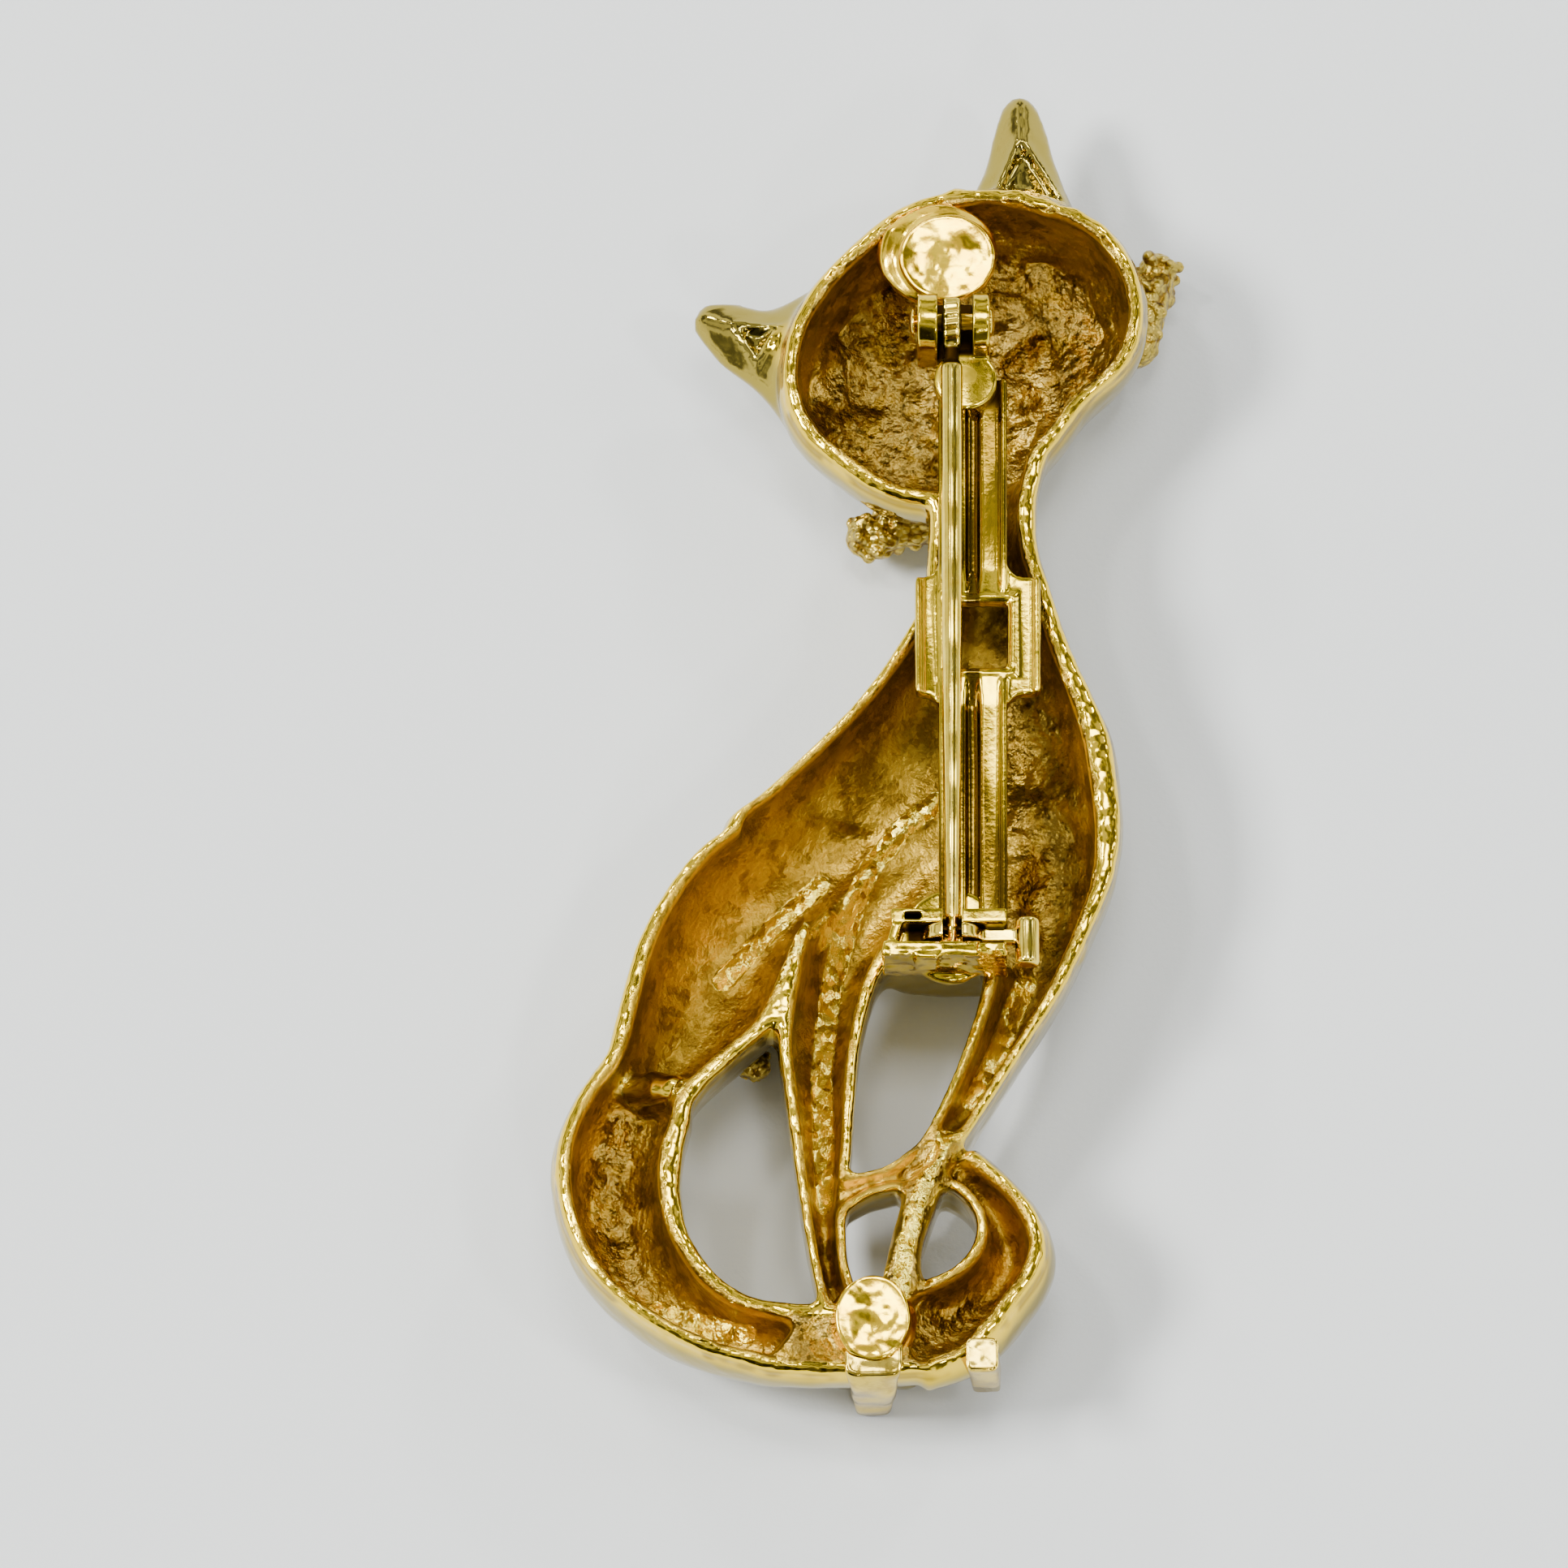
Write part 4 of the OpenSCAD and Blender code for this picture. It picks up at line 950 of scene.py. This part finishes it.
# %% [markdown]
# ## Finishes
# Every finish here is gold plate, so what tells them apart is roughness, small bumps and how deep the colour
# is. Shader sums are written as plain Python sums, with a small class that adds a Math node for each operator.

# %% Shader sums
# Outputs of the texture coordinates, and of a Voronoi texture.
GENERATED, NORMAL, OBJECT = 0, 1, 3
DISTANCE_OUT, COLOUR_OUT, MIDDLE_OUT = 0, 1, 2


class Wire:
    """A shader socket that understands + - * and 1 - wire."""

    def __init__(self, board, socket):
        self.board = board
        self.socket = socket

    def __add__(self, other):
        return self.board.sum_of("ADD", self, other)

    def __sub__(self, other):
        return self.board.sum_of("SUBTRACT", self, other)

    def __rsub__(self, other):
        return self.board.sum_of("SUBTRACT", other, self)

    def __mul__(self, other):
        return self.board.sum_of("MULTIPLY", self, other)

    __radd__ = __add__
    __rmul__ = __mul__


class Board:
    """The node tree of a material or of the world, and its shader."""

    def __init__(self, data, shader="Principled BSDF", **constants):
        data.use_nodes = True
        self.data = data
        self.tree = data.node_tree
        self.shader = self.tree.nodes[shader]
        for key, value in constants.items():
            self.shader.inputs[key.replace("_", " ")].default_value = value

    def add(self, kind, settings=None, inputs=None, output=0):
        """A node: its settings first, then the values or wires of its sockets."""
        node = self.tree.nodes.new("ShaderNode" + kind)
        for key, value in (settings or {}).items():
            setattr(node, key, value)
        for key, value in (inputs or {}).items():
            self.join(node.inputs[key], value)
        return Wire(self, node.outputs[output])

    def join(self, socket, value):
        """Links a wire to a socket, or sets the socket's value."""
        if isinstance(value, Wire):
            self.tree.links.new(value.socket, socket)
        else:
            socket.default_value = value

    def feed(self, **sockets):
        """Joins wires or values to the shader's own sockets."""
        for key, value in sockets.items():
            self.join(self.shader.inputs[key.replace("_", " ")], value)

    def sum_of(self, operation, *values):
        return self.add("Math", {"operation": operation}, dict(enumerate(values)))

    def vector(self, operation, a, b, output=0):
        """A sum of two vectors. Its second output is the one for results that are numbers."""
        return self.add("VectorMath", {"operation": operation}, {0: a, 1: b}, output)

    def between(self, value, low, high):
        """0 below low, 1 above high, smooth in between."""
        return self.add("MapRange", {"interpolation_type": "SMOOTHSTEP"},
                        {"Value": value, "From Min": low, "From Max": high})

    def mixed(self, share, a, b):
        """Colour a where share is 0, colour b where it is 1. A Mix node keeps its colours in sockets 6 and 7."""
        return self.add("Mix", {"data_type": "RGBA"}, {0: share, 6: a, 7: b}, output=2)

    def place(self):
        """The point in millimetres, in the object's own coordinates."""
        point = self.add("TexCoord", output=OBJECT)
        return self.add("VectorMath", {"operation": "SCALE"}, {0: point, "Scale": 1 / MM})

    def noise(self, place, scale, detail=3.0, rough=0.55):
        return self.add("TexNoise", {}, {"Vector": place, "Scale": scale, "Detail": detail, "Roughness": rough})

    def mask(self, name):
        """A value that the mesh carries at its points."""
        return self.add("Attribute", {"attribute_name": name}, output=2)

    def part_of(self, vector, axis):
        """The x, y or z of a vector."""
        return self.add("SeparateXYZ", {}, {0: vector}, output=axis)

    def facets(self, place, scale):
        """Crumpled foil: space is split into cells, and each is a plane with its own random slope. The first
        wire is the height dot(slope, p - cell's middle), the second a random value for each cell."""
        cell = {"Vector": place, "Scale": scale}
        slope = self.vector("SUBTRACT", self.add("TexVoronoi", {}, cell, COLOUR_OUT), (0.5,) * 3)
        off = self.vector("SUBTRACT", place, self.add("TexVoronoi", {}, cell, MIDDLE_OUT))
        return self.vector("DOT_PRODUCT", slope, off, 1), self.part_of(slope, 0) + 0.5

    def bump(self, height, distance_mm=1.0):
        return self.add("Bump", {}, {"Height": height, "Distance": distance_mm * MM, "Strength": 1.0})


def board(name, **constants):
    """The board of a new material."""
    return Board(bpy.data.materials.new(name), **constants)


print("helpers on a board:", [name for name in vars(Board) if name[0] != "_"])

# %% [markdown]
# ### Cast gold
# Outside, the plate is polished and only faintly wavy. In the troughs it lies on raw casting skin: browner,
# grainy, with paler crusts on the floors. The mask of the troughs mixes the two.

# %% Cast gold
# Colours: red, green, blue and alpha.
BRIGHT = (0.96, 0.65, 0.03, 1)
LOW_WALL_REFLECTION = (0.36, 0.275, 0.045, 1)
DEEP = (0.5, 0.31, 0.025, 1)
BROWN = (0.2, 0.11, 0.008, 1)
SAND = (0.41, 0.285, 0.055, 1)
# Near black, for painted shade in gaps and pits.
PAINTED_SHADE = (0.025, 0.011, 0.001, 1)
# Colours of the painted highlight along the glint lines.
GLINT, DULL_GLINT = (1.0, 0.79, 0.1, 1), (0.92, 0.66, 0.04, 1)
DARK_REFLECTION = (0.07, 0.035, 0.003, 1)


def cast_gold():
    """Heights are in mm: the rim is at 8. Raw is the trough's colour, skin the polished outside's."""
    b = board("cast_finish", Metallic=1.0)
    at = b.place()
    inside = b.between(b.mask("hollow"), 0.25, 0.75)
    crusty = b.mask("crust")
    height = b.part_of(at, 2)
    up = b.part_of(b.add("TexCoord", output=NORMAL), 2)
    floor_part = inside * b.between(up, 0.4, 0.8)
    wide = b.noise(at, 0.4, 2)
    crust = b.noise(at, 1.0, 3, 0.5)
    grain = b.noise(at, 4.2, 3, 0.65)
    warp = b.add("TexNoise", {}, {"Vector": at, "Scale": 1.5, "Detail": 3.0}, 1)
    warped = b.vector("ADD", at, warp)
    big, big_tone = b.facets(warped, 0.6)
    small, small_tone = b.facets(warped, 2.2)
    torso = crusty * (1 - b.between(b.part_of(at, 1), 12.5, 14.0)) * b.between(b.part_of(at, 0), 3.5, 5.0)
    flakes = floor_part * crusty * b.between(crust + wide * 0.5, 0.62, 0.74)
    pits = floor_part * crusty * b.between(b.noise(at, 2.4, 3, 0.6), 0.56, 0.66)
    raw = b.mixed(b.between(wide * 0.6 + grain * 0.15 + small_tone * 0.15 + big_tone * 0.1, 0.38, 0.6), BROWN, DEEP)
    raw = b.mixed(0.25 * torso, raw, BROWN)
    raw = b.mixed(flakes * (0.3 + 0.55 * big_tone) * (1 - 0.6 * torso), raw, SAND)
    # Painted shade: pits in the crusts are painted near black, and the torso's right side is darkened towards it.
    raw = b.mixed((pits + 0.25 * torso) * 0.75, raw, PAINTED_SHADE)
    raw = b.mixed(b.between(height, 7.0, 7.5) * (1 - floor_part), raw, BRIGHT)
    # Painted highlight: the glint lines are painted as bright gold grains.
    glint_line = b.between(b.mask("glint_line") + grain * 0.3, 0.45, 0.63)
    sparks, spark_tone = b.facets(at, 2.3)
    raw = b.mixed(glint_line, raw, b.mixed(b.between(spark_tone, 0.3, 0.6), DULL_GLINT, GLINT))
    # Painted reflection: below the rim the outside is painted duller and darker, as it mirrors the table.
    skin = b.mixed(b.between(height, 6.4, 7.5), LOW_WALL_REFLECTION, BRIGHT)
    # Painted dark reflection: patches of dark colour in a band just under the rim.
    under_rim = b.between(height, 6.9, 7.2) * (1 - b.between(height, 7.5, 7.7))
    skin = b.mixed(under_rim * b.between(b.noise(at, 0.35, 2), 0.42, 0.52) * 0.55, skin, DARK_REFLECTION)
    trough_bump = inside * (grain * 0.09 + crust * 0.16) + glint_line * sparks * 0.9
    crumb_bump = floor_part * crusty * (big * 0.6 + small * 0.25 + crust * 0.25)
    rim_bump = b.between(height, 7.2, 7.7) * b.noise(at, 1.7, 0.5) * 0.09
    b.feed(Base_Color=b.mixed(inside, skin, raw),
           Roughness=0.08 + grain * 0.06 + inside * (0.17 + 0.1 * grain) * (1 - 0.6 * glint_line),
           Normal=b.bump(trough_bump + crumb_bump + (1 - inside) * (wide * 0.12 + crust * 0.012 + rim_bump)))
    return b.data


GRAIN_GOLD = (0.52, 0.38, 0.065, 1)
# A dark brown for painted shade in the strip's groove and on its bars.
GROOVE_SHADE = (0.15, 0.088, 0.005, 1)


def granulated_gold():
    """Tiny soldered grains: duller than the polish, with darker brown between the grains."""
    b = board("granulated_finish", Metallic=1.0)
    at = b.place()
    grains = b.add("TexVoronoi", {}, {"Vector": at, "Scale": 2.6}, DISTANCE_OUT)
    b.feed(Base_Color=b.mixed(b.between(grains, 0.5, 0.8), GRAIN_GOLD, BROWN),
           Roughness=0.24 + b.noise(at, 5.0) * 0.15,
           Normal=b.bump((1 - grains) * 0.18))
    return b.data


def polished_gold(name, colour, worn, rough, wave, along=1.0):
    """Polished plate with waves, wiping marks and redder worn patches. The mesh's own tone and shade masks paint
    shade on it: darker in grooves, near black in gaps. A small share along draws the waves out along Y."""
    b = board(name, Metallic=1.0)
    at = b.place()
    drawn = b.vector("MULTIPLY", at, (1.0, along, 1.0))
    wide = b.noise(drawn, 0.45, 0.5, 0.4)
    fine_noise = b.noise(at, 4.0, 3, 0.5)
    shade = b.mask("shade")
    plate = b.mixed(b.between(b.noise(drawn, 1.1, 3) * 0.8 + fine_noise * 0.2, 0.42, 0.62), colour, worn)
    # Painted shade: the tone mask paints the strip's groove and bars darker brown.
    plate = b.mixed(b.mask("tone"), plate, GROOVE_SHADE)
    # Painted shade: where the shade mask is 1 the plate is painted near black.
    b.feed(Base_Color=b.mixed(shade, plate, PAINTED_SHADE),
           Roughness=rough + fine_noise * 0.06 + shade * 0.4,
           Normal=b.bump((wide + fine_noise * 0.02) * wave))
    return b.data


CAST_GOLD = cast_gold()
GRANULATED = granulated_gold()
FINDINGS_GOLD = polished_gold("findings_finish", (0.85, 0.59, 0.025, 1), (0.55, 0.38, 0.02, 1),
                              rough=0.1, wave=0.4, along=0.3)
PAD_GOLD = polished_gold("pad_finish", (1.0, 0.67, 0.03, 1), (0.86, 0.53, 0.02, 1), rough=0.12, wave=0.35)
STUB_GOLD = polished_gold("stub_finish", (0.72, 0.52, 0.07, 1), (0.5, 0.34, 0.035, 1), rough=0.12, wave=0.35)
PIN_GOLD = polished_gold("pin_finish", (1.0, 0.74, 0.09, 1), (0.9, 0.62, 0.05, 1), rough=0.08, wave=0.1)
print("finishes:", [m.name for m in (CAST_GOLD, GRANULATED, FINDINGS_GOLD, PAD_GOLD, STUB_GOLD, PIN_GOLD)])

# %% [markdown]
# ## Putting the pieces in place
# Everything so far was measured from the belly in millimetres. Each mesh is moved to the solids' own origin,
# made metres, and tied to the body that it moves with.

# %% Pieces
def place_piece(name, mesh, material, slot, body, *nodes):
    """The mesh as a finished piece of the brooch, standing for the named solids."""
    set_points(mesh, (points_of(mesh) + TO_ORIGIN) * MM)
    mesh.polygons.foreach_set("use_smooth", np.ones(len(mesh.polygons), bool))
    mesh.name = name
    mesh.materials.clear()
    mesh.materials.append(material)
    piece = bpy.data.objects.new(name, mesh)
    bpy.context.scene.collection.objects.link(piece)
    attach(piece, body)
    if nodes:
        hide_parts(*nodes)
    return piece


def mark(mesh, tone, shade):
    """Gives a mesh its tone and shade masks, which are formulas over its points in mm."""
    co = points_of(mesh)
    add_attribute(mesh, "tone", np.broadcast_to(tone(*co.T), len(co)))
    add_attribute(mesh, "shade", np.broadcast_to(shade(*co.T), len(co)))


def nowhere(x, y, z):
    """A mask that is 0 everywhere."""
    return 0.0 * x


def strip_painted_shade(x, y, z):
    """Painted shade: darker in the groove and, less so, on the bars above and below the frame."""
    groove = (1 - ramp(np.abs(x - BAR_X), 0.3, 0.42)) * ramp(z, BAR_Z + 0.1, BAR_Z + 0.3)
    on_bar = ramp(np.abs(y - FRAME_AT[1]), FRAME_L / 2 + 0.1, FRAME_L / 2 + 0.8)
    streaks = 0.75 + 0.5 * bumps(np.stack([x, y / 4, z], 1), 0.8, 41)
    return np.maximum(groove, on_bar * (0.85 + 0.3 * ramp(-y, -2.0, 2.0)) * streaks)


def under_hinge(x, y, z):
    """Painted shade: on the bar in the hinge's shadow, and on the sheet's own edge and underside."""
    return np.maximum(ramp(y, 17.4, 18.3) * (1 - ramp(z, BAR_TOP + 0.02, BAR_TOP + 0.15)), 1 - ramp(z, 8.1, 8.4))


def hinge_shade(x, y, z):
    """Painted shade between the ears, under the base, and in spots on the tongue."""
    between_ears = (ramp(x, EAR_LEFT[1] - 0.08, EAR_LEFT[1] - 0.02)
                    * (1 - ramp(x, EAR_RIGHT[0] + 0.02, EAR_RIGHT[0] + 0.08)))
    tongue = 0.5 * (1 - ramp(y, 19.9, 20.2)) * ramp(bumps(np.stack([x, y, z], 1), 1.2, 43), -0.2, 0.1)
    return np.maximum(np.maximum(between_ears * ramp(y, 19.9, 20.3), 1 - ramp(z, 8.3, 8.7)), tongue)


def catch_shade(x, y, z):
    """Painted shade inside the pocket, the mouth and the slots, below their upper edges."""
    deep = 1 - ramp(z, CATCH_TOP - 0.35, CATCH_TOP - 0.1)
    pocket_part = ramp(y, NEAR_Y + CHEEK_T - 0.1, NEAR_Y + CHEEK_T) * (1 - ramp(y, FAR_Y, FAR_Y + 0.08))
    slots = ramp(y, FAR_Y + 0.1, FAR_Y + 0.18) * (1 - ramp(y, FAR_Y + 0.56, FAR_Y + 0.64)) * (
        (np.abs(x - 2.37) < 0.5) + (np.abs(x - PIN_X) < 0.55))
    return deep * np.maximum(pocket_part * ramp(x, 1.9, 2.2), slots)


def pin_shade(x, y, z):
    """The neck and the flanks of the eye, which the ears keep from the light."""
    neck = ramp(y, 19.3, 19.5) * (1 - ramp(y, 20.35, 20.5))
    sides = ramp(np.abs(x - PIN_X), 0.34, 0.42) * ramp(y, 20.3, 20.5)
    return np.maximum(neck, sides * 0.8)


# The tone and shade masks say where shade is painted on each piece.
mark(strip, strip_painted_shade, under_hinge)
mark(hinge, nowhere, hinge_shade)
mark(housing, nowhere, catch_shade)
mark(pin, nowhere, pin_shade)

# Columns: name, mesh, finish, slot, body, and the solid that the piece stands for.
pieces = [place_piece(*row) for row in (
    ("cat_casting", cast, CAST_GOLD, "cast_gold", "brooch", "cast_cat"),
    ("granulated_tufts", tufts, GRANULATED, "cast_gold", "brooch"),
    ("crown_pad", crown_pad, PAD_GOLD, "cast_gold", "brooch"),
    ("foot_pad", foot_pad, PAD_GOLD, "cast_gold", "brooch"),
    ("square_post", post, STUB_GOLD, "cast_gold", "brooch"),
    ("foot_stub", stub, STUB_GOLD, "cast_gold", "brooch"),
    ("pin_back_strip", strip, FINDINGS_GOLD, "findings_gold", "brooch", "pin_back"),
    ("hinge_bracket", hinge, FINDINGS_GOLD, "findings_gold", "brooch"),
    ("catch_housing", housing, FINDINGS_GOLD, "findings_gold", "brooch"),
    ("hinge_rivet_domed", rivet, PIN_GOLD, "pin_gold", "brooch", "hinge_rivet"),
    ("pin_with_eye", pin, PIN_GOLD, "pin_gold", "pin", "pin_stem"),
    ("catch_ring_with_thumb", ring, PIN_GOLD, "pin_gold", "catch", "catch_ring"))]
triangles = [sum(len(f.vertices) - 2 for f in p.data.polygons) for p in pieces]
print("triangles:", dict(zip([p.name for p in pieces], triangles)), "in all", sum(triangles))

# %% [markdown]
# ## Table and light
# The table is a pale matt sheet. A strong window stands on the left and a weak one on the right, a soft light
# hangs overhead, and small lamps round the brooch make glints. The sky is dim, bright only in places, so that
# the polish shows both light and dark.

# %% Table
def table_sheet(half=2.0, count=41):
    """A flat grid of points under the brooch."""
    line = np.linspace(-half, half, count)
    x, y = np.meshgrid(line, line)
    grid = np.dstack([x, y, np.zeros_like(x)])
    i, j = np.arange(count - 1)[:, None] * count, np.arange(count - 1)[None]
    quads = np.stack([i + j, i + j + 1, i + count + j + 1, i + count + j], -1).reshape(-1, 4)
    mesh = bpy.data.meshes.new("table")
    mesh.from_pydata(grid.reshape(-1, 3).tolist(), [], quads.tolist())
    return mesh


PAPER, PALE_PAPER = (0.63, 0.655, 0.64, 1), (0.69, 0.705, 0.69, 1)


def table_paper():
    """Paper with wide faint clouds and a very fine grain."""
    b = board("table_paper", Roughness=0.75)
    at = b.place()
    b.feed(Base_Color=b.mixed(b.noise(at, 0.02, 3), PAPER, PALE_PAPER),
           Normal=b.bump(b.noise(at, 3.0, 3), 0.02))
    return b.data


table = scratch(table_sheet())
table.data.materials.append(table_paper())
print("table:", len(table.data.polygons), "faces")

# %% Lights
AIM = np.array([0.0, 0.0, 0.008])


def soft_light(name, azimuth, lift, distance, width, height, watts):
    """A rectangle that faces the brooch from an azimuth, measured from +Y towards +X, and a height angle."""
    data = bpy.data.lights.new(name, "AREA")
    data.shape, data.size, data.size_y = "RECTANGLE", width, height
    data.energy = watts
    light = bpy.data.objects.new(name, data)
    bpy.context.scene.collection.objects.link(light)
    a, e = math.radians(azimuth), math.radians(lift)
    light.location = AIM + distance * np.array([math.sin(a) * math.cos(e), math.cos(a) * math.cos(e), math.sin(e)])
    light.rotation_euler = (math.pi / 2 - e, 0, math.pi - a)
    return light


# Columns: azimuth and height angle in degrees, distance, width and height in metres, watts.
LIGHTS = {
    "key": (12, 80, 1.1, 0.36, 0.28, 5.0),
    "left_window": (-92, 48, 1.4, 0.4, 0.3, 30.0),
    "right_window": (75, 40, 1.5, 0.3, 0.35, 3.0)}
for k, (azimuth, lift) in enumerate([(-30, 28), (40, 34), (-62, 62), (112, 56), (165, 42)]):
    LIGHTS["lamp_%d" % k] = (azimuth, lift, 1.0, 0.09, 0.09, 2.0)
for name, row in LIGHTS.items():
    soft_light(name, *row)

# The way from the brooch to the viewer.
VIEWER = (-0.15, -0.94, 0.3)


def room(zenith, horizon, shade):
    """A sky that fades from the horizon to the zenith, with a dark patch low down where the viewer stands."""
    b = Board(bpy.data.worlds.new("room"), "Background", Color=(0.95, 0.97, 1.0, 1))
    way = b.add("TexCoord", output=GENERATED)
    height = b.part_of(way, 2)
    toward = b.vector("DOT_PRODUCT", way, VIEWER, 1)
    level = horizon + (zenith - horizon) * b.between(height, 0.0, 0.8)
    level = level * (0.22 + 1.5 * b.between(b.noise(way, 2.4, 3), 0.46, 0.55))
    level = level * (1 - (1 - shade) * b.between(toward, 0.72, 0.86))
    b.feed(Strength=level)
    return b.data


bpy.context.scene.world = room(zenith=0.46, horizon=1.2, shade=0.06)
